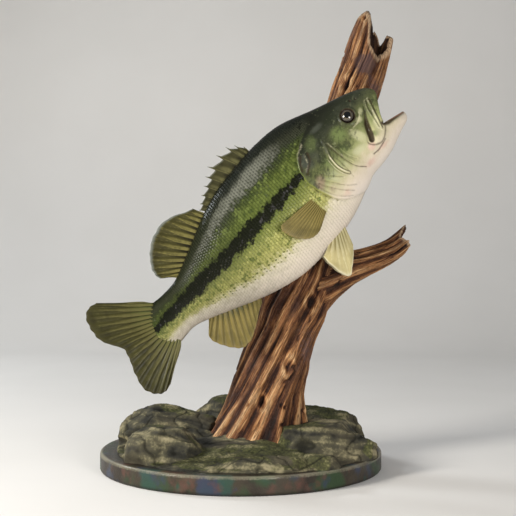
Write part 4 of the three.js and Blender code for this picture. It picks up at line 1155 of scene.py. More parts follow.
def trunk_mesh(finish):
    """The stump and its broken top: a fluted, twisted stem with toes, knots and a rotted core."""
    around, up = 352, 258
    turn = round_angles(around)
    turned = turn + sum(shift * np.sin(n * turn + phase) for n, shift, phase in FLUTE_SHIFTS)
    foot, top = TRUNK[0][2], TRUNK[-1][2]
    degrees = np.degrees(turned - WOOD_TWIST * top)[0] % 360
    crown = np.interp(degrees, *np.transpose(CROWN))
    crown = crown + CROWN_JAGS * noise(np.stack([degrees, 0 * degrees, 0 * degrees], -1), 6.0, 40, 2)
    z = foot - 1 + np.linspace(0, 1, up)[:, None] * (crown[None, :] - foot + 1)
    angle = turned - WOOD_TWIST * np.minimum(z, top)
    x0, y0, half_x, half_y = trunk_row(z)
    folds = 1 + sum(share * np.sin(n * turned + phase) for n, share, phase in WOOD_FOLDS)
    toe_rise = clamp01((TOE["top"] - z) / TOE["fade"]) ** 2
    toe = sum(
        reach * toe_rise * np.maximum(0, np.cos(angle - math.radians(d))) ** TOE["narrow"]
        for d, reach in TOES
    )
    flute = flute_height(turn, z)
    place = in_grain(turned, z, GRAIN_RADIUS["trunk"])
    x = x0 + half_x * folds * np.cos(angle)
    relief = fibres(place, x, z)
    worn = clamp01((z - crown[None, :] + CROWN_WORN["height"]) / CROWN_WORN["height"])
    relief = relief * mix(1.0, 0.4, worn) - CROWN_WORN["edge"] * (1 - np.sqrt(clamp01(1 - worn**2)))
    out = flute + toe + relief * (1 + 0.35 * smooth((160 - z) / 110))
    outer = np.stack([
        x0 + (half_x * folds + out) * np.cos(angle), y0 - (half_y * folds + out) * np.sin(angle), z
    ], -1)
    outer = fillet(outer, np.stack([np.cos(angle), -np.sin(angle), 0 * z], -1))
    outer = make_room(outer)
    inner = rotted_core(outer[-1], x0[-1], y0[-1])
    # Paler on the ridges and darker in the furrows and cracks, as painted shade; paler towards the top.
    bare = clamp01(0.5 + 0.13 * (relief + 0.8 * flute) + 0.14 * smooth((z - 440) / 110))
    # Inside the rotted core the wood is painted dark, as painted shade; its rim is paler.
    dark = np.full(around * (len(inner) - 1) + 2, 0.2)
    bare = np.concatenate([bare.ravel(), np.full(around, 0.7), dark])
    tip = np.concatenate([smooth(1 - (crown[None, :] - z) / 16).ravel(), np.full(around, 0.8)])
    return hollow_stem("driftwood_trunk", outer, inner, place, bare, tip, finish)


def rotted_core(rim, x0, y0):
    """Rings down the hollow in the trunk's broken top, from its rim inwards."""
    height = rim[:, 2]
    centre = np.stack([x0, y0, height], -1)
    walls = []
    for shrink, drop in HOLLOW:
        wall = mix(centre, rim, shrink)
        floor = mix(height, CROWN_FLOOR, 1 - shrink) - drop * 0.3
        wall[:, 2] = np.minimum(height - drop, floor)
        walls.append(wall + noise(wall, 6.0, 61)[:, None])
    return walls


def in_grain(angle, length, radius):
    """Places in the wood's grain: round a plain stem of one radius, and along it."""
    return np.stack([radius * np.cos(angle) + 0 * length, radius * np.sin(angle) + 0 * length, length], -1)


def broken_patch(points):
    """How far the wood is rotted and grey, from patches of it."""
    x, _, z = np.moveaxis(points, -1, 0)
    rot = patch_sum(ROTTEN, x, z)
    return rot * smooth(0.7 + 0.8 * noise(points, [9, 9, 16], 77, 2))


def fillet(points, out, reach=26.0):
    """Swells the trunk where the branch grows out of it."""
    line = along(BRANCH, np.linspace(0, 1, 60))
    away = np.full(points.shape[:-1], 1e3)
    for row in line:
        away = np.minimum(away, np.abs(np.linalg.norm(points - row[:3], axis=-1) - row[3]))
    share = clamp01(1 - away / reach)
    return points + out * (reach / 4 * share**2)[..., None]


def make_room(points):
    """Moves wood that would reach into the fish back behind its left flank."""
    place = to_fish(points)
    out, inside = flank_at(place[..., 0], place[..., 2])
    out = out + np.where(place[..., 0] > GILL_REAR, GILL_LIFT, 0)
    folded = bump(place[..., 0] - SEAT_FIN["x"], SEAT_FIN["long"])
    folded = folded * bump(place[..., 2] - SEAT_FIN["z"], SEAT_FIN["tall"])
    limit = FISH_AT[1] + out + SEAT_GAP + SEAT_FIN["room"] * smooth(folded * 1.8)
    moved = points.copy()
    behind = inside & (points[..., 1] < limit)
    moved[..., 1] = np.where(behind, limit, points[..., 1])
    return moved


def branch_mesh(finish):
    """The branch, from inside the trunk to its broken and splintered end."""
    around, steps = 200, 230
    angle = round_angles(around)
    share = np.linspace(0, 1, steps)
    x0, y0, z0, half = np.moveaxis(along(BRANCH, share), -1, 0)
    ahead = unit(np.gradient(np.stack([x0, y0, z0], -1), axis=0))
    across = np.array([0.0, 1.0, 0.0])
    up = unit(np.cross(ahead, across))
    length = np.concatenate([[0], np.cumsum(np.hypot(np.diff(x0), np.diff(z0)))])[:, None]
    turned = angle + BRANCH_TWIST * length
    r = half[:, None] * (1 + 0.05 * np.sin(3 * angle + 1.7) + 0.05 * np.sin(5 * angle + 1))
    place = in_grain(turned, length + 0 * angle + BRANCH_GRAIN, GRAIN_RADIUS["branch"])
    centre = np.stack([x0, y0, z0], -1)[:, None, :]
    depth = np.minimum(half, BRANCH_DEEPEST) / half
    spoke = np.cos(angle)[..., None] * up[:, None, :] + (np.sin(angle) * depth[:, None])[..., None] * across
    x, z = (centre[..., k] + r * spoke[..., k] for k in (0, 2))
    ribs = np.cos(BRANCH_RIBS["number"] * turned + 0.8 * np.sin(3 * turned))
    relief = fibres(place, x, z) + BRANCH_RIBS["height"] * ribs
    end = smooth((share - 0.84) / 0.16)[:, None]
    tips = sum(
        reach * bump((angle - at + np.pi) % (2 * np.pi) - np.pi, width)
        for at, reach, width in BRANCH_TIPS
    )
    points = centre + spoke * (r + 0.8 * relief)[..., None]
    push = end * (tips - 10 + 4 * noise(place, [5, 5, 400], 50, 2))
    points = points + ahead[:, None, :] * push[..., None] + up[:, None, :] * (0.28 * end * tips)[..., None]
    hollow = []
    for shrink, back in BRANCH_HOLLOW:
        wall = mix(centre[-1], points[-1], shrink) - ahead[-1] * back
        hollow.append(wall + 0.8 * noise(wall, 5.0, 71)[:, None])
    # Paler on the ribs and darker between them, as painted shade; the inside of the broken end is painted
    # darker, as painted shade.
    bare = clamp01(0.59 + 0.14 * relief)
    bare = np.concatenate([bare.ravel(), np.full(around * len(hollow), 0.4), [0.3, 0.3]])
    tip = np.repeat(smooth((share - 0.93) / 0.07), around)
    return hollow_stem("driftwood_branch_wood", make_room(points), hollow, place, bare, tip, finish)


# ---------------------------------------------------------------- stones and ground
# Centre, half sizes, share where the top is cut flat, degrees turned and tilted, seed of the faces.
ROCKS = {
    "rock_front_left": [[-102, -86, 26], [56, 52, 46], 0.92, 8, 4, 1.3],
    "rock_front_middle": [[32, -152, 22], [64, 27, 24], 0.75, 2, 1, 2.6],
    "rock_front_right": [[106, -134, 20], [30, 28, 24], 0.8, 30, 0, 0.7],
    "rock_right_round": [[152, -72, 26], [36, 34, 32], 0.95, 10, 0, 3.9],
    "rock_right": [[96, -28, 24], [86, 66, 54], 0.72, -20, -5, 3.1],
    "rock_left_back": [[-99, 36, 24], [83, 66, 56], 0.95, -10, 6, 5.2],
    "rock_right_back": [[116, 54, 24], [69, 68, 54], 0.95, 20, -2, 4.4],
    "rock_back": [[-14, 104, 24], [68, 56, 63], 0.95, -8, 0, 6.7],
}
# Flat faces of a stone: how many, and the share of its half size at which they and the round parts lie.
ROCK_FACES = {"count": 15, "reach": 0.89, "spread": 0.07, "round": 1.04}
GOLDEN_ANGLE = 2.39996  # radians from each face to the next, which spreads them evenly
MOUND = {"x": 4.0, "radius": 182.0, "rim": 27.5, "crest": 57.0, "hollow": 1.3, "sunk": 6.0}
PLINTH = {"radius": 200.0, "height": 25.0, "round": 3.5, "wobble": 0.35}
BEDDING = [[0.25, 0, 0.1], [0.1, 0.3, 0.2], [0.3, 0.1, 1.0]]  # how the beds of the stones are tilted
# Heights of the weathering in millimetres.
WEATHER = {"beds": 1.4, "lumps": 1.7, "grit": 0.5, "cracks": 1.5, "moss": 1.1, "tufts": 0.8}
VOXEL = 1.9  # size of the grid on which stones and ground are joined


def icosphere(divisions):
    """A ball of radius 1, as points and triangles."""
    shape = bmesh.new()
    bmesh.ops.create_icosphere(shape, subdivisions=divisions, radius=1.0)
    shape.verts.ensure_lookup_table()
    points = np.array([v.co[:] for v in shape.verts])
    faces = [[v.index for v in f.verts] for f in shape.faces]
    shape.free()
    return unit(points), faces


def rock_points(directions, row):
    """One stone: a ball cut back by slanting flat faces and a flat top."""
    at, half, top, turn, tilt, seed = row
    reach = np.minimum(ROCK_FACES["round"], top / np.maximum(directions[:, 2], 0.1))
    for i in range(ROCK_FACES["count"]):
        up = 1 - (2 * i + 1) / ROCK_FACES["count"]
        around = GOLDEN_ANGLE * i + seed
        level = math.sqrt(1 - up * up)
        face = np.array([level * math.cos(around), level * math.sin(around), up])
        distance = ROCK_FACES["reach"] + ROCK_FACES["spread"] * math.sin(7 * seed + 5 * i)
        reach = np.minimum(reach, distance / np.maximum(directions @ face, 0.1))
    x, y, z = (directions * reach[:, None] * half).T
    x, z = spun(x, z, -math.radians(tilt))
    x, y = spun(x, y, math.radians(turn))
    return np.stack([x, y, z], -1) + at


def mound_points(rings, sides):
    """The low mound of ground between the stones, from its uneven rim to its crest."""
    share = np.linspace(1, 0, rings)[:, None]
    angle = round_angles(sides)
    edge = 1 + 0.012 * np.sin(5 * angle) + 0.01 * np.sin(9 * angle + 1)
    r = share * MOUND["radius"] * edge
    x, y = MOUND["x"] + r * np.cos(angle), r * np.sin(angle)
    z = mix(MOUND["rim"], MOUND["crest"], (1 - share) ** MOUND["hollow"]) + 0 * angle
    z = z + 2.2 * noise(np.stack([x, y, z], -1), 26, 80, 2)
    return np.stack([x, y, z], -1)


def rough_ground():
    """The stones and the closed mound, still as separate shells in one mesh."""
    directions, ball = icosphere(6)
    points = [rock_points(directions, row) for row in ROCKS.values()]
    faces = [[i + n * len(directions) for i in face] for n in range(len(ROCKS)) for face in ball]
    rings, sides = 40, 160
    start = len(ROCKS) * len(directions)
    mound = mound_points(rings, sides).reshape(-1, 3)
    skirt = mound[:sides] * [1, 1, 0] + [0, 0, PLINTH["height"] - MOUND["sunk"]]
    points += [skirt, mound, skirt.mean(0)[None]]
    faces += [[i + start for i in face] for face in grid_faces(rings + 1, sides, closed=True)]
    faces += fan_faces(list(range(start, start + sides)), start + sides * (rings + 1), True)
    return make_object("rough_ground", np.vstack(points), faces)


def stony_ground(finish):
    """Stones and ground joined on one fine grid, then weathered: beds, cracks, pits and moss."""
    rough = rough_ground()
    remesh = rough.modifiers.new("Join", "REMESH")
    remesh.mode = "VOXEL"
    remesh.voxel_size = VOXEL * MM
    joined = realised(rough, "stony_ground", finish)
    mesh = joined.data
    place, normal = point_rows(mesh, "co") / MM, point_rows(mesh, "normal")
    up = clamp01(normal[:, 2])
    warp = 9 * np.stack([noise(place, 45, 90 + k, 2) for k in range(3)], -1)
    beds = noise((place + warp) @ np.array(BEDDING), [60, 60, 6], 93, 2)
    cracks = clamp01(ridges(place + warp, 38, 94, 2) - 0.86) / 0.14
    lumps = noise(place + warp, 17, 95, 3)
    grit = noise(place, 3.4, 96, 2)
    moss = smooth((noise(place + warp, 48, 97, 3) + 0.35 * up - 0.1) / 0.3) * smooth((up - 0.15) / 0.4)
    tufts = noise(place, 4.6, 98, 2)
    relief = WEATHER["beds"] * beds + WEATHER["lumps"] * lumps + WEATHER["grit"] * grit
    relief -= WEATHER["cracks"] * cracks * (1 - 0.6 * moss)
    relief = mix(relief, 0.7 * relief + WEATHER["moss"] + WEATHER["tufts"] * tufts, moss)
    moved = place + normal * relief[:, None]
    moved[:, 2] = np.maximum(moved[:, 2], PLINTH["height"] - 0.3)
    mesh.vertices.foreach_set("co", (moved * MM).astype(np.float32).ravel())
    # Paler where the stone is raised and darker where it is low, partly wear and partly painted highlight and
    # shade; the cracks carry painted shade.
    mark_points(mesh, {"moss": moss, "crack_shade": cracks, "worn": clamp01(0.5 + 0.4 * lumps + 0.3 * beds)})
    mesh.update()
    return joined


def plinth_mesh(finish):
    """The round plinth with a soft upper edge, a paler arris, painted shadow on its top round the stones and
    a slightly uneven coat of paint.
    """
    radius, height, edge = PLINTH["radius"], PLINTH["height"], PLINTH["round"]
    turns = np.linspace(0, np.pi / 2, 9)
    profile = [[0, 0], [60, 0], [130, 0], [radius - 3, 0], [radius - 1, 0.6], [radius, 2]]
    profile += [[radius, z] for z in np.linspace(5, height - edge - 2, 7)]
    profile += [[radius - edge + edge * math.cos(t), height - edge + edge * math.sin(t)] for t in turns]
    profile += [[r, height] for r in np.linspace(radius - edge - 4, 150, 16)] + [[90, height], [0, height]]
    profile = np.array(profile, float)
    sides = 360
    angle = round_angles(sides)
    r, z = profile[:, :1], profile[:, 1:]
    points = np.stack(np.broadcast_arrays(r * np.cos(angle), r * np.sin(angle), z), -1)
    wobble = PLINTH["wobble"] * noise(points, 24, 110, 2) * smooth((r - 120) / 40) * smooth(z / 3)
    outward = unit(np.stack(np.broadcast_arrays(np.cos(angle), np.sin(angle), smooth((z - 18) / 6)), -1))
    points = points + outward * wobble[..., None]
    arris = bump(r - radius + edge / 2, edge) * smooth((z - height + 2 * edge) / edge)
    # Painted shadow on the flat top, round the foot of the stones.
    shade_round_stones = smooth((radius - 2 * edge - r) / 6) * smooth(5 * z / height - 4)
    fields = {"arris": (arris + 0 * angle).ravel(), "shade_round_stones": (shade_round_stones + 0 * angle).ravel()}
    made = make_object("plinth_body", points, grid_faces(len(profile), sides, closed=True), finish, fields)
    return face_outwards(made, WELD)


# ---------------------------------------------------------------- finishes
def per(size):
    """The scale of a noise texture whose blobs are about this many millimetres wide."""
    return 1 / (size * MM)


def new_finish(name, *marks):
    """A material's empty tree, each point's place in the piece's own frame and its named numbers."""
    material = bpy.data.materials.new(name)
    material.use_nodes = True
    tree = material.node_tree
    tree.nodes.clear()
    place = add_node(tree, "ShaderNodeTexCoord").outputs["Object"]
    mark = {
        key: add_node(tree, "ShaderNodeAttribute", attribute_name=key).outputs["Fac"] for key in marks
    }
    return material, tree, place, mark


def weighted(tree, start, *terms):
    """A number plus values that are each multiplied by a weight."""
    total = start
    for value, weight in terms:
        total = add_node(tree, "ShaderNodeMath", {0: value, 1: weight, 2: total}, operation="MULTIPLY_ADD")
    return total


def painted(tree, color, *coats):
    """Lays paints over a colour; each thickens to its most as a value runs from bare to covered."""
    for paint, value, bare, covered, most in coats:
        limits = {"Value": value, "From Min": bare, "From Max": covered, "To Max": most}
        share = add_node(tree, "ShaderNodeMapRange", limits, interpolation_type="SMOOTHSTEP")
        color = add_node(tree, "ShaderNodeMix", {0: share, 6: color, 7: paint}, data_type="RGBA")
    return color


def surfaced(material, tree, color, roughness, height, depth, gloss):
    """Ends a material; height and depth, in millimetres, are its bumps, and gloss its other settings."""
    bumps = add_node(tree, "ShaderNodeBump", {"Height": height, "Distance": depth * MM})
    surface = {"Base Color": color, "Roughness": roughness, "Normal": bumps, **gloss}
    shader = add_node(tree, "ShaderNodeBsdfPrincipled", surface)
    add_node(tree, "ShaderNodeOutputMaterial", {"Surface": shader})
    return material


# Colours along the flank, from the belly at 0 over the stripe at 0.5 to the back at 1.
FLANK = [
    (0.0, "d9cdbd"), (0.09, "dacfbd"), (0.17, "d2c9b1"), (0.215, "b9b482"), (0.25, "9f9d5e"),
    (0.3, "8b8c4c"), (0.38, "7b8043"), (0.43, "6a7139"), (0.47, "626c34"), (0.52, "5b6731"),
    (0.6, "555f2d"), (0.66, "525c2c"), (0.7, "434b27"), (0.75, "363d25"), (0.8, "373a2c"),
    (0.85, "343629"), (0.89, "292b22"), (0.93, "20231c"), (1.0, "1c1e19"),
]
# Colours of the head, from the throat to the top of the skull.
HEAD = [
    (0.0, "d9cfc4"), (0.14, "d4c8b8"), (0.21, "cbbfa8"), (0.28, "b6ae8e"), (0.35, "9f9d72"), (0.43, "82865a"),
    (0.5, "676c46"), (0.58, "545938"), (0.66, "424530"), (0.74, "33362a"), (0.82, "26291f"), (0.9, "1f2119"),
    (1.0, "191a14"),
]


def skin_finish(colours):
    """Fish skin, airbrushed and lacquered: satin, with a clear coat that keeps small highlights."""
    material, tree, place, mark = new_finish(
        "lacquered_fish_skin", "zone", "stripe", "head", "head_zone", "mouth", "tone", "dot", "rim",
        "furrow", "bone", "tailward", "sheen", *PATCHES,
    )
    leaning = add_node(tree, "ShaderNodeMapping", {"Vector": place, "Scale": (1, 1, 0.62)})
    *spots, pore = (
        add_node(
            tree, "ShaderNodeTexNoise", {"Vector": lie, "Scale": per(size), "Detail": 2.5, "W": seed},
            noise_dimensions="4D",
        )
        for lie, size, seed in (
            (place, 24, 0), (leaning, 11, 3), (leaning, 5, 2), (place, 2.6, 4), (place, 1.3, 5),
        )
    )
    soft, blotch, small, fleck = spots
    zone = weighted(
        tree, 0.41, (mark["zone"], 0.5), (soft, 0.08), (small, 0.07), (mark["tone"], 0.016), (fleck, 0.03)
    )
    # The first ramp marks the band where a silvery sheen is painted on the upper flank; the second, how
    # strongly the scales' painted shade shows.
    sheen_band, strength = (
        add_node(tree, "ShaderNodeValToRGB", {"Fac": zone}, stops)
        for stops in (
            [(0.74, 0.0), (0.8, 0.75), (0.84, 1.0), (0.875, 0.9), (0.91, 0.3), (0.94, 0.05)],
            [(0.16, 0.1), (0.24, 0.28), (0.5, 0.36), (0.7, 0.5), (0.78, 0.95), (1.0, 0.85)],
        )
    )
    color = flank_paint(tree, mark, zone, sheen_band, spots)
    color = painted(tree, color, (head_paint(tree, mark, spots), mark["head"], 0.0, 1.0, 1.0))
    ragged = weighted(
        tree, -2.25, (mark["stripe"], 1.0), (blotch, 1.9), (small, 1.7), (fleck, 0.9), (mark["tone"], 0.16)
    )
    gaps = weighted(
        tree, -1.0, (fleck, 0.9), (small, 1.1), (blotch, 0.6), (mark["tone"], 0.12), (mark["stripe"], -0.3),
        (mark["tailward"], -0.25),
    )
    # Pale bone edges with painted highlights, then painted shade in the head's creases and hollows.
    bone = weighted(tree, -0.75, (mark["bone"], 1.0), (small, 0.7), (fleck, 0.6))
    furrow = weighted(tree, -0.3, (mark["furrow"], 1.0), (small, 0.35), (fleck, 0.2))
    color = painted(
        tree, color,
        (colours.stripe, ragged, 1.4, 0.8, 0.97), ("4d4b4d", gaps, 0.28, 0.55, 0.6),
        ("c4bd9f", bone, 0.0, 0.8, 1.0), ("30251a", furrow, 0.0, 0.9, 0.95),
        ("8a6650", mark["mouth"], 0.0, 1.0, 1.0),
    )
    # Painted shade between the overlapping scales.
    color = painted_scale_shade(tree, mark, color, sheen_band, strength)
    roughness = weighted(tree, 0.26, (soft, 0.2))
    grain = weighted(tree, 0.0, (pore, 0.6), (fleck, 0.7))
    gloss = {"Coat Weight": 0.08, "Coat Roughness": 0.16, "IOR": 1.45, "Specular IOR Level": 0.05}
    return surfaced(material, tree, color, roughness, grain, 0.28, gloss)


def flank_paint(tree, mark, zone, sheen_band, spots):
    """Scales below the stripe: green with straw-coloured flecks; above it: blotched darker, with a painted
    sheen band.
    """
    soft, blotch, small, fleck = spots
    color = add_node(tree, "ShaderNodeValToRGB", {"Fac": zone}, FLANK)
    low, high = (
        add_node(tree, "ShaderNodeValToRGB", {"Fac": zone}, stops)
        for stops in (
            [(0.2, 0.0), (0.27, 1.0), (0.36, 1.0), (0.45, 0.3), (0.5, 0.0)],
            [(0.5, 0.0), (0.56, 1.0), (0.72, 1.0), (0.8, 0.3)],
        )
    )
    mottle = weighted(tree, -0.3, (small, 1.0), (mark["tone"], 0.1), (blotch, 0.4), (fleck, 0.2))
    straw = weighted(tree, -0.55, (fleck, 0.7), (soft, 0.6), (mark["tone"], -0.08), (low, 0.45))
    dark_low = weighted(tree, -0.45, (mottle, 1.0), (low, 0.45))
    dark_high = weighted(tree, -0.45, (mottle, 1.0), (high, 0.45))
    light_high = weighted(tree, 0.55, (mottle, -1.0), (high, 0.45))
    spot = add_node(tree, "ShaderNodeAttribute", attribute_name="on_scale").outputs["Vector"]
    from_spot = add_node(
        tree, "ShaderNodeVectorMath", {0: spot, 1: (0.27, 0.0, 0.0)}, operation="DISTANCE"
    ).outputs["Value"]
    dot = weighted(tree, 0.0, (mark["dot"], 0.55), (from_spot, -1.9))
    # Painted sheen: a silvery grey highlight laid over the band on the upper flank.
    painted_sheen = weighted(
        tree, -1.35, (sheen_band, 1.0), (small, 0.7), (mark["tone"], 0.1), (fleck, 0.5), (mark["sheen"], 0.8)
    )
    shade = weighted(tree, -0.55, (mark["tailward"], 0.95), (small, 0.5), (blotch, 0.5))
    return painted(
        tree, color,
        ("b5b36a", straw, 0.5, 0.66, 0.6), ("57632a", dark_low, 0.52, 0.68, 0.75),
        ("707c42", light_high, 0.5, 0.7, 0.55), ("3a4620", dark_high, 0.5, 0.72, 0.7),
        ("4a5222", dot, 0.0, 0.3, 0.85), ("2c2f1c", shade, 0.0, 0.9, 0.5), ("717266", painted_sheen, 0.0, 1.1, 0.95),
    )


def head_paint(tree, mark, spots):
    """The head, from throat to skull, with its airbrushed patches, dark worm lines and pale glints."""
    soft, blotch, small, fleck = spots
    zone = weighted(
        tree, 0.16, (mark["head_zone"], 0.7), (soft, 0.1), (blotch, 0.08), (small, 0.08), (fleck, 0.02)
    )
    color, upper = (
        add_node(tree, "ShaderNodeValToRGB", {"Fac": zone}, stops)
        for stops in (HEAD, [(0.34, 0.0), (0.5, 1.0), (0.72, 1.0), (0.85, 0.8)])
    )
    worms = weighted(tree, -0.5, (small, 0.8), (fleck, 0.35), (blotch, 0.5), (upper, 0.3))
    glints = weighted(tree, -0.5, (fleck, 0.9), (small, -0.6), (blotch, 0.6), (upper, 0.3))
    for name, code in (
        ("bloom", "636e43"), ("slate", "3f4239"), ("pale", "a8a782"), ("tan", "857560"), ("blush", "c8ab9a"),
    ):
        patch = weighted(tree, -0.3, (mark[name], 1.0), (small, 0.6))
        color = painted(tree, color, (code, patch, 0.15, 0.8, 0.95))
    return painted(tree, color, ("23281b", worms, 0.54, 0.82, 0.7), ("868c66", glints, 0.33, 0.6, 0.42))


def painted_scale_shade(tree, mark, color, sheen_band, strength):
    """Painted shade on each scale, near its root under the scale ahead and as a dark line at its rear edge;
    stronger towards the back.
    """
    scale_shade = add_node(
        tree, "ShaderNodeValToRGB", {"Fac": weighted(tree, 0.0, (mark["rim"], 1.0), (sheen_band, -0.08))},
        [(0.3, 0.15), (0.48, 0.5), (0.64, 1.0), (0.84, 1.0), (0.96, 0.25)],
    )
    scaled = add_node(tree, "ShaderNodeMath", {0: mark["rim"], 1: 0.01}, operation="GREATER_THAN")
    on_scale = add_node(
        tree, "ShaderNodeMath", {0: scaled, 1: mark["head"]}, operation="SUBTRACT", use_clamp=True
    )
    share = add_node(tree, "ShaderNodeMath", {0: strength, 1: on_scale}, operation="MULTIPLY")
    return add_node(
        tree, "ShaderNodeMix", {0: share, 6: color, 7: scale_shade}, data_type="RGBA", blend_type="MULTIPLY"
    )


def fin_finish(name, base, web, light, dark, margin):
    """Fin skin over horn-coloured rays, tinted and lacquered: painted light and shade on the two halves of
    each pleat, pale along each ray's crest.
    """
    material, tree, place, mark = new_finish(name, "out", "ray", "pleat")
    soft, small, fine = (
        add_node(tree, "ShaderNodeTexNoise", {"Vector": place, "Scale": per(size), "Detail": 2.5})
        for size in (17, 4.5, 1.3)
    )
    outwards = weighted(tree, -0.25, (mark["out"], 1.0), (soft, 0.5))
    # Painted shade and painted light on the two sides of each pleat of the web.
    shaded = weighted(tree, -0.2, (mark["pleat"], 0.5), (small, 0.5), (soft, 0.4), (mark["out"], -0.3))
    lit = weighted(tree, -0.2, (mark["pleat"], -0.5), (small, 0.4), (soft, 0.5))
    crest = weighted(tree, -0.2, (mark["ray"], 0.8), (small, 0.7), (mark["pleat"], -0.3), (mark["out"], -0.3))
    blotch = weighted(tree, -0.95, (mark["out"], 0.6), (soft, 1.2))
    color = painted(
        tree, base,
        (web, outwards, 0.0, 0.4, 1.0), (light, lit, 0.2, 0.75, 0.65), (dark, shaded, 0.3, 0.75, 0.8),
        (light, crest, 0.25, 0.8, 0.75), (dark, blotch, 0.0, 0.35, 0.45),
        (margin, mark["out"], 0.9, 1.0, 0.75),
    )
    roughness = weighted(tree, 0.3, (small, 0.25))
    gloss = {"Coat Weight": 0.06, "Coat Roughness": 0.25, "Specular IOR Level": 0.1}
    return surfaced(material, tree, color, roughness, fine, 0.2, gloss)


def eye_finish():
    """A painted glass eye: black pupil, thin dull gold ring and mottled brown iris under clear glass."""
    material, tree, place, mark = new_finish("painted_glass_eye", "gaze")
    gaze = add_node(tree, "ShaderNodeMapRange", {"Value": mark["gaze"], "From Max": EYE["radius"]})
    edge = PUPIL / EYE["radius"]
    color = add_node(tree, "ShaderNodeValToRGB", {"Fac": gaze}, [
        (0.0, "040404"), (edge, "050505"), (edge + 0.03, "66593f"), (edge + 0.08, "564d3f"), (0.7, "4d473e"),
        (0.84, "3a332d"), (0.92, "191512"), (1.0, "0f0d0b"),
    ])
    speckle = add_node(tree, "ShaderNodeTexNoise", {"Vector": place, "Scale": per(1.1), "Detail": 3.0})
    iris = add_node(
        tree, "ShaderNodeValToRGB", {"Fac": gaze}, [(edge, 0.0), (edge + 0.1, 1.0), (0.9, 1.0), (1, 0.0)]
    )
    mottle = weighted(tree, -0.3, (speckle, 1.0), (iris, 0.3))
    color = painted(tree, color, ("251f19", mottle, 0.42, 0.62, 0.7))
    gloss = {"Coat Weight": 0.6, "Coat Roughness": 0.03, "Specular IOR Level": 0.3}
    return surfaced(material, tree, color, 0.15, speckle, 0.0, gloss)


def tongue_finish():
    """Painted flesh, moist: pale pink with a fine grain."""
    material, tree, place, _ = new_finish("moist_mouth_flesh")
    soft, fine = (
        add_node(tree, "ShaderNodeTexNoise", {"Vector": place, "Scale": per(size), "Detail": 3.0})
        for size in (8, 1.5)
    )
    color = add_node(tree, "ShaderNodeValToRGB", {"Fac": soft}, [(0.3, "a97c6a"), (0.7, "cfa994")])
    return surfaced(material, tree, color, 0.35, fine, 0.3, {"Coat Weight": 0.5, "Coat Roughness": 0.15})


def wood_finish(colours):
    """Sun-bleached driftwood, dry and fibrous: tan on its ridges, with painted shade in its furrows and
    inside its hollows.
    """
    material, tree, place, mark = new_finish("weathered_driftwood", "bare", "broken", "tip")
    wound = add_node(tree, "ShaderNodeAttribute", attribute_name="grain").outputs["Vector"]
    along_grain = add_node(tree, "ShaderNodeMapping", {"Vector": wound, "Scale": (1, 1, 0.07)})
    streak, band, hair, large, crumb = (
        add_node(
            tree, "ShaderNodeTexNoise", {"Vector": lie, "Scale": per(size), "Detail": 3.0, "W": seed},
            noise_dimensions="4D",
        )
        for lie, size, seed in (
            (along_grain, 2.2, 0), (along_grain, 7, 3), (along_grain, 0.9, 6), (place, 60, 5),
            (place, 3.2, 9),
        )
    )
    # Paler on the ridges, with painted shade in the furrows and inside the hollows.
    bare = weighted(
        tree, -0.99, (mark["bare"], 1.0), (streak, 0.7), (band, 0.5), (hair, 0.5), (crumb, 0.25)
    )
    color = add_node(tree, "ShaderNodeValToRGB", {"Fac": bare}, [
        (0.1, "140a06"), (0.28, "28160e"), (0.42, "482b1a"), (0.55, "6b452a"), (0.68, "8e623d"),
        (0.82, "ac8156"), (1.0, "caa377"),
    ])
    split = add_node(
        tree, "ShaderNodeValToRGB", {"Fac": streak}, [(0.42, 0.0), (0.485, 1.0), (0.515, 1.0), (0.58, 0.0)]
    )
    bleached = weighted(tree, -0.35, (large, 1.0), (band, 0.7))
    greyed = weighted(tree, 0.75, (large, -1.0), (band, 0.6))
    fresh = weighted(tree, -0.4, (mark["tip"], 1.0), (band, 0.8))
    rotten = weighted(tree, -0.45, (mark["broken"], 1.0), (crumb, 0.9))
    holes = weighted(tree, -0.9, (mark["broken"], 1.0), (crumb, -1.0))
    color = painted(
        tree, color,
        (colours.wood, bleached, 0.5, 0.9, 0.35), ("54423e", greyed, 0.55, 0.8, 0.5),
        ("c2a482", fresh, 0.2, 0.8, 0.8), ("2a1810", split, 0.3, 1.0, 0.6),
        ("4f3d3b", rotten, 0.0, 0.5, 0.85), ("1f120d", holes, 0.0, 0.25, 0.8),
    )
    height = weighted(tree, 0.0, (streak, 0.8), (band, 0.6), (hair, 0.5), (split, -0.4), (crumb, 0.4))
    roughness = weighted(tree, 0.42, (streak, 0.4))
    return surfaced(material, tree, color, roughness, height, 1.1, {"Specular IOR Level": 0.15})


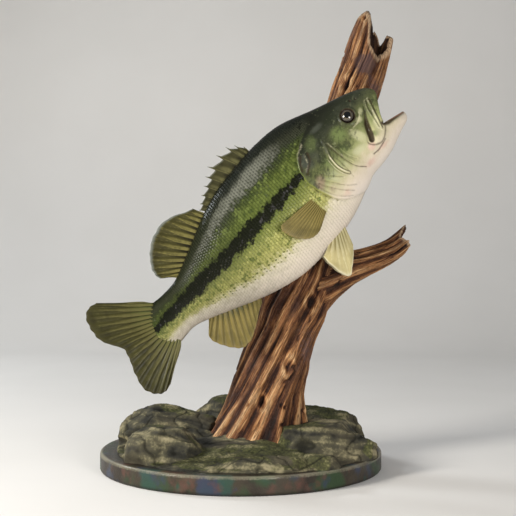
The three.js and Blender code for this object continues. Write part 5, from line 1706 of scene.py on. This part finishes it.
def stone_finish():
    """Mossy stone, dull and gritty: olive-grey beds, pale crests partly worn and partly painted highlight,
    painted shade in hollows and cracks, green moss.
    """
    material, tree, place, mark = new_finish("mossy_stone", "worn", "moss", "crack_shade")
    large, mid, grit = (
        add_node(
            tree, "ShaderNodeTexNoise", {"Vector": place, "Scale": per(size), "Detail": 3.0, "W": seed},
            noise_dimensions="4D",
        )
        for size, seed in ((60, 0), (15, 2), (3, 4))
    )
    # Dark in the hollows as painted shade, paler on raised places, partly wear and partly painted highlight.
    worn = weighted(tree, -0.57, (mark["worn"], 1.0), (mid, 0.5), (grit, 0.3), (large, 0.25))
    color = add_node(tree, "ShaderNodeValToRGB", {"Fac": worn}, [
        (0.08, "171711"), (0.3, "31302a"), (0.5, "4a4738"), (0.68, "646049"), (0.88, "8d8469"),
    ])
    patch = weighted(tree, -0.5, (mark["moss"], 1.0), (mid, 0.7), (grit, 0.3))
    green = add_node(tree, "ShaderNodeValToRGB", {"Fac": weighted(tree, -0.25, (grit, 1.0), (mid, 0.5))}, [
        (0.3, "272a16"), (0.5, "424524"), (0.75, "66683a"),
    ])
    # Pale crests, partly wear and partly painted highlight; then painted shade in the cracks.
    rubbed_and_highlit = weighted(tree, -1.15, (mark["worn"], 1.0), (grit, 0.9), (mid, 0.6))
    color = painted(
        tree, color,
        ("57503f", large, 0.45, 0.7, 0.5), (green, patch, 0.3, 0.85, 0.6), ("978d6f", rubbed_and_highlit, 0.14, 0.5, 0.5),
        ("15150f", mark["crack_shade"], 0.0, 1.0, 0.75),
    )
    height = weighted(tree, 0.0, (grit, 0.7), (mid, 0.9))
    roughness = weighted(tree, 0.6, (grit, 0.5))
    return surfaced(material, tree, color, roughness, height, 1.1, {"Specular IOR Level": 0.15})


def plinth_finish(colours):
    """Hand-painted resin under satin varnish: brown with green, teal and slate patches, paler along its upper
    edge, with painted shadow round the stones and darker towards its foot.
    """
    material, tree, place, mark = new_finish("patinated_plinth_paint", "arris", "shade_round_stones")
    flat = add_node(tree, "ShaderNodeMapping", {"Vector": place, "Scale": (1, 1, 0.8)})
    shade, green, slate, teal, rust = (
        add_node(
            tree, "ShaderNodeTexNoise", {"Vector": flat, "Scale": per(size), "Detail": 5.0, "W": seed},
            noise_dimensions="4D",
        )
        for size, seed in ((30, 0), (42, 3), (38, 8), (34, 12), (30, 17))
    )
    speck = add_node(tree, "ShaderNodeTexNoise", {"Vector": place, "Scale": per(2.2), "Detail": 3.0})
    height = add_node(tree, "ShaderNodeSeparateXYZ", {"Vector": place}).outputs["Z"]
    arris = weighted(tree, -0.75, (mark["arris"], 0.8), (speck, 0.5), (shade, 0.6))
    # Painted shadow on the top round the stones.
    shade_round_stones = weighted(tree, -0.4, (mark["shade_round_stones"], 1.0), (speck, 0.4), (green, 0.4))
    color = painted(
        tree, colours.plinth,
        ("221c17", shade, 0.4, 0.65, 0.8), ("2b4027", green, 0.48, 0.6, 0.85),
        ("30384c", slate, 0.54, 0.66, 0.8), ("29443a", teal, 0.54, 0.66, 0.8),
        ("573a30", rust, 0.54, 0.66, 0.8), ("8a8571", arris, 0.2, 0.7, 0.65),
        ("24211a", shade_round_stones, 0.1, 0.9, 0.75), ("1c1815", height, 0.006, 0.0, 0.7),
    )
    roughness = weighted(tree, 0.3, (speck, 0.35))
    gloss = {"Coat Weight": 0.1, "Specular IOR Level": 0.2}
    return surfaced(material, tree, color, roughness, speck, 0.3, gloss)


def studio_finish(colours):
    """Matt studio paper: pale, even, with a faint tooth."""
    material, tree, place, _ = new_finish("studio_paper")
    large, tooth = (
        add_node(tree, "ShaderNodeTexNoise", {"Vector": place, "Scale": per(size)}) for size in (300, 3)
    )
    color = painted(tree, colours.floor, ("dedbd5", large, 0.3, 0.7, 0.3))
    return surfaced(material, tree, color, 0.9, tooth, 0.05, {})


# ---------------------------------------------------------------- settings
def color_property(name, description, code):
    return bpy.props.FloatVectorProperty(
        name=name, description=description, default=hex_color(code), size=4, min=0, max=1, subtype="COLOR"
    )


class BassColours(bpy.types.PropertyGroup):
    """Main colours of the model and its stage."""

    stripe: color_property("Stripe", "The dark band along the flank", "12130d")
    wood: color_property("Driftwood tint", "Tint laid over the wood's own browns", "b98455")
    plinth: color_property("Plinth", "Ground colour of the painted plinth", "3b3429")
    floor: color_property("Floor", "Colour of the studio floor and backdrop", "e7e4df")


class BassSizes(bpy.types.PropertyGroup):
    """Sizes of the scales."""

    unevenness: bpy.props.FloatProperty(
        name="Scale unevenness", description="How much the scales differ in how they lie", default=0.035,
        min=0, max=0.3, subtype="ANGLE", unit="ROTATION",
    )
    map_patch: bpy.props.FloatProperty(
        name="Map patch", description="Share of the coat's colour map that one scale takes",
        default=SCALE_PATCH, min=0.0005, max=0.02, precision=4,
    )


def colours():
    return bpy.context.scene.bass_colours


FEWEST_FACES = 1000  # a coat with fewer has lost its scales
FINISHES = {}


def finish_for(key, make, *args):
    """Each finish is made once, however many pieces share it."""
    if key not in FINISHES:
        FINISHES[key] = make(*args)
    return FINISHES[key]


def skin_material():
    return finish_for("skin", skin_finish, colours())


# Paints of each fin: at its root, on the web, on the rays and as painted light, as painted shade and in
# blotches, and along the margin.
FIN_PAINTS = {
    "olive_fin": ["221f11", "3d3a1e", "77703f", "15130a", "7d827c"],
    "tail_fin": ["4d522b", "37351b", "5b5732", "141209", "3f3c24"],
    "dark_fin": ["1b1a12", "37351f", "67643f", "12110b", "7b7d70"],
    "amber_fin": ["4a4c27", "6a5f33", "807241", "474021", "7c6e42"],
    "cream_fin": ["918a60", "a89d70", "c4bb92", "82784c", "c4bc9f"],
}


def fin_material(name):
    return finish_for(name, fin_finish, name, *FIN_PAINTS[name])


def scale_coat(name, side, span, shape, tree):
    """One piece of the coat: its scales set on their roots, joined and coloured."""
    sizes = bpy.context.scene.bass_sizes
    roots = coat_points(f"{name}_roots", side, span)
    modifier = roots.modifiers.new("Scales", "NODES")
    modifier.node_group = tree
    set_inputs(modifier, {
        "Scale shape": shape, "Finish": skin_material(), "Unevenness": sizes.unevenness,
        "Map patch": sizes.map_patch,
    })
    coat = realised(roots, name, skin_material())
    repaint(coat)
    if len(coat.data.polygons) < FEWEST_FACES:
        raise RuntimeError(f"{name} has only {len(coat.data.polygons)} faces")
    return coat


# ---------------------------------------------------------------- operators
class BASS_OT_skin(bpy.types.Operator):
    """Builds the fish's skin in one piece, with its head, gill covers, jaws and mouth"""

    bl_idname = "bass.skin"
    bl_label = "Fish skin"

    def execute(self, context):
        made = skin_mesh(skin_material())
        settle(
            made, "skin_flank", "tail_stalk", "trunk", "head", "lower_jaw", "gill_cover_right",
            "gill_cover_left", "upper_jaw_right", "upper_jaw_left",
        )
        return {"FINISHED"}


class BASS_OT_scales(bpy.types.Operator):
    """Lays scales over both flanks"""

    bl_idname = "bass.scales"
    bl_label = "Scales"

    def execute(self, context):
        shape = scale_shape()
        tree = coat_tree("scales_on_roots")
        for hand, side in HANDS.items():
            for part, span in COAT_SPANS.items():
                coat = scale_coat(f"scales_{part}_{hand}", side, span, shape, tree)
                settle(coat, "skin_flank")
        bpy.data.objects.remove(shape)
        return {"FINISHED"}


class BASS_OT_fins(bpy.types.Operator):
    """Builds every fin, with its rays and web"""

    bl_idname = "bass.fins"
    bl_label = "Fins"

    def execute(self, context):
        olive, tail, dark, amber, cream = (fin_material(name) for name in FIN_PAINTS)
        for fin, node in (
            (middle_fin("caudal_fin", TAIL_BASE, TAIL_MARGIN, 17, 3, TAIL_FIN, tail), "tail_fin"),
            (middle_fin("soft_back_fin", SOFT_BASE, SOFT_MARGIN, 13, 2.5, SOFT_FIN, olive), "back_fin_soft"),
            (middle_fin("vent_fin", ANAL_BASE, ANAL_MARGIN, 12, -2.5, SOFT_FIN, amber), "anal_fin"),
            (spiny_fin(dark), "back_fin_spiny"),
        ):
            settle(fin, "fin_olive", node)
        for name, side in HANDS.items():
            breast = side_fin(
                f"pectoral_fin_{name}", BREAST_ROOT, BREAST_EDGE, side, 14, 2.2, BREAST_FIN, amber,
                1.0 if side < 0 else FOLDED,
            )
            settle(breast, "fin_olive", f"breast_fin_{name}")
            belly = side_fin(f"pelvic_fin_{name}", BELLY_ROOT, BELLY_EDGE, side, 7, 1.0, BELLY_FIN, cream)
            settle(belly, "fin_cream", f"belly_fin_{name}")
        return {"FINISHED"}


class BASS_OT_eyes(bpy.types.Operator):
    """Sets both glass eyes"""

    bl_idname = "bass.eyes"
    bl_label = "Eyes"

    def execute(self, context):
        glass = finish_for("eye", eye_finish)
        for name, side in HANDS.items():
            settle(eye_ball(f"glass_eye_{name}", side, glass), "eye_glass", f"eye_{name}")
        return {"FINISHED"}


class BASS_OT_mouth(bpy.types.Operator):
    """Lays the tongue in the open mouth"""

    bl_idname = "bass.mouth"
    bl_label = "Tongue"

    def execute(self, context):
        settle(tongue_mesh(finish_for("tongue", tongue_finish)), "tongue_flesh", "tongue")
        return {"FINISHED"}


class BASS_OT_driftwood(bpy.types.Operator):
    """Builds the furrowed driftwood trunk and its branch"""

    bl_idname = "bass.driftwood"
    bl_label = "Driftwood"

    def execute(self, context):
        wood = finish_for("wood", wood_finish, colours())
        settle(trunk_mesh(wood), "driftwood", "driftwood_stump", "driftwood_snag")
        settle(branch_mesh(wood), "driftwood", "driftwood_branch")
        return {"FINISHED"}


class BASS_OT_ground(bpy.types.Operator):
    """Builds the stones and the mossy ground between them"""

    bl_idname = "bass.ground"
    bl_label = "Stones and ground"

    def execute(self, context):
        settle(stony_ground(finish_for("stone", stone_finish)), "rock", "ground", *ROCKS)
        return {"FINISHED"}


class BASS_OT_plinth(bpy.types.Operator):
    """Builds the round painted plinth"""

    bl_idname = "bass.plinth"
    bl_label = "Plinth"

    def execute(self, context):
        settle(plinth_mesh(finish_for("plinth", plinth_finish, colours())), "plinth_paint", "plinth")
        return {"FINISHED"}


CAMERA = {"at": (0.0244, -1.48, 0.297), "lens": 71.9, "sensor": 36.0}
# Soft boxes: place, width, power in watts, and how warm they are.
LIGHTS = {
    "key": {"at": (-1.5, -1.05, 0.85), "size": 0.6, "power": 42, "color": (1.0, 0.97, 0.92)},
    "fill": {"at": (0.8, -1.7, 0.4), "size": 0.6, "power": 20, "color": (1.0, 0.97, 0.95)},
    "rim": {"at": (-1.8, 1.2, 1.6), "size": 0.6, "power": 25, "color": (0.9, 0.95, 1.0)},
}
AIM = (0.02, 0.0, 0.3)
SKY = {"color": (0.9, 0.94, 1.0, 1), "strength": 0.27}
# The paper: half its width and its height, where it begins to bend behind the model, and the bend's radius.
BACKDROP = {"reach": 4000, "start": 1700, "bend": 900}


class BASS_OT_stage(bpy.types.Operator):
    """Sets the floor, the soft lights and the camera"""

    bl_idname = "bass.stage"
    bl_label = "Stage"

    def execute(self, context):
        points, faces = backdrop_sweep()
        make_object("studio_floor", points, faces, finish_for("floor", studio_finish, colours()))
        for name, light in LIGHTS.items():
            add_lamp(context.scene, name, light)
        world = bpy.data.worlds.new("studio_air")
        world.use_nodes = True
        sky = world.node_tree.nodes["Background"]
        sky.inputs["Color"].default_value = SKY["color"]
        sky.inputs["Strength"].default_value = SKY["strength"]
        context.scene.world = world
        context.scene.view_settings.view_transform = "Standard"
        add_camera(context.scene)
        return {"FINISHED"}


def backdrop_sweep():
    """Points and faces of the paper: flat under the model, then bent upwards behind it."""
    reach, start, bend = BACKDROP["reach"], BACKDROP["start"], BACKDROP["bend"]
    turns = np.linspace(0.1, np.pi / 2, 12)
    sweep = [[-reach, 0], [start, 0]]
    sweep += [[start + bend * math.sin(t), bend - bend * math.cos(t)] for t in turns]
    sweep += [[start + bend, reach]]
    points = [[x, y, z] for y, z in sweep for x in (-reach, reach)]
    return points, [[2 * i, 2 * i + 1, 2 * i + 3, 2 * i + 2] for i in range(len(sweep) - 1)]


def add_lamp(scene, name, light):
    """A round soft box, aimed at the model."""
    data = bpy.data.lights.new(name, "AREA")
    data.shape = "DISK"
    data.size, data.energy, data.color = light["size"], light["power"], light["color"]
    lamp = bpy.data.objects.new(name, data)
    lamp.location = light["at"]
    lamp.rotation_euler = look_along([a - b for a, b in zip(light["at"], AIM)])
    scene.collection.objects.link(lamp)


def add_camera(scene):
    """A level camera in front of the model."""
    data = bpy.data.cameras.new("camera")
    data.lens, data.sensor_width = CAMERA["lens"], CAMERA["sensor"]
    camera = bpy.data.objects.new("camera", data)
    camera.location = CAMERA["at"]
    camera.rotation_euler = (math.pi / 2, 0, 0)
    scene.collection.objects.link(camera)
    scene.camera = camera


def look_along(direction):
    """Turns a lamp so that it shines against a direction, towards what it is aimed at."""
    x, y, z = direction
    return (math.atan2(math.hypot(x, y), z), 0.0, math.atan2(y, x) + math.pi / 2)


class BASS_PT_panel(bpy.types.Panel):
    """Lists the steps and settings of the mounted bass"""

    bl_idname = "BASS_PT_panel"
    bl_label = "Mounted Bass"
    bl_space_type = "VIEW_3D"
    bl_region_type = "UI"
    bl_category = "Bass"

    def draw(self, context):
        for group in (context.scene.bass_colours, context.scene.bass_sizes):
            for key in group.__annotations__:
                self.layout.prop(group, key)
        for step in STEPS:
            self.layout.operator(step.bl_idname)


STEPS = (
    BASS_OT_skin, BASS_OT_scales, BASS_OT_fins, BASS_OT_eyes, BASS_OT_mouth,
    BASS_OT_driftwood, BASS_OT_ground, BASS_OT_plinth, BASS_OT_stage,
)
CLASSES = (BassColours, BassSizes, *STEPS, BASS_PT_panel)


def register():
    for cls in CLASSES:
        bpy.utils.register_class(cls)
    bpy.types.Scene.bass_colours = bpy.props.PointerProperty(type=BassColours)
    bpy.types.Scene.bass_sizes = bpy.props.PointerProperty(type=BassSizes)


def unregister():
    del bpy.types.Scene.bass_sizes
    del bpy.types.Scene.bass_colours
    for cls in reversed(CLASSES):
        bpy.utils.unregister_class(cls)


def main():
    register()
    for step in STEPS:
        group, name = step.bl_idname.split(".")
        getattr(getattr(bpy.ops, group), name)()


if __name__ == "__main__":
    main()
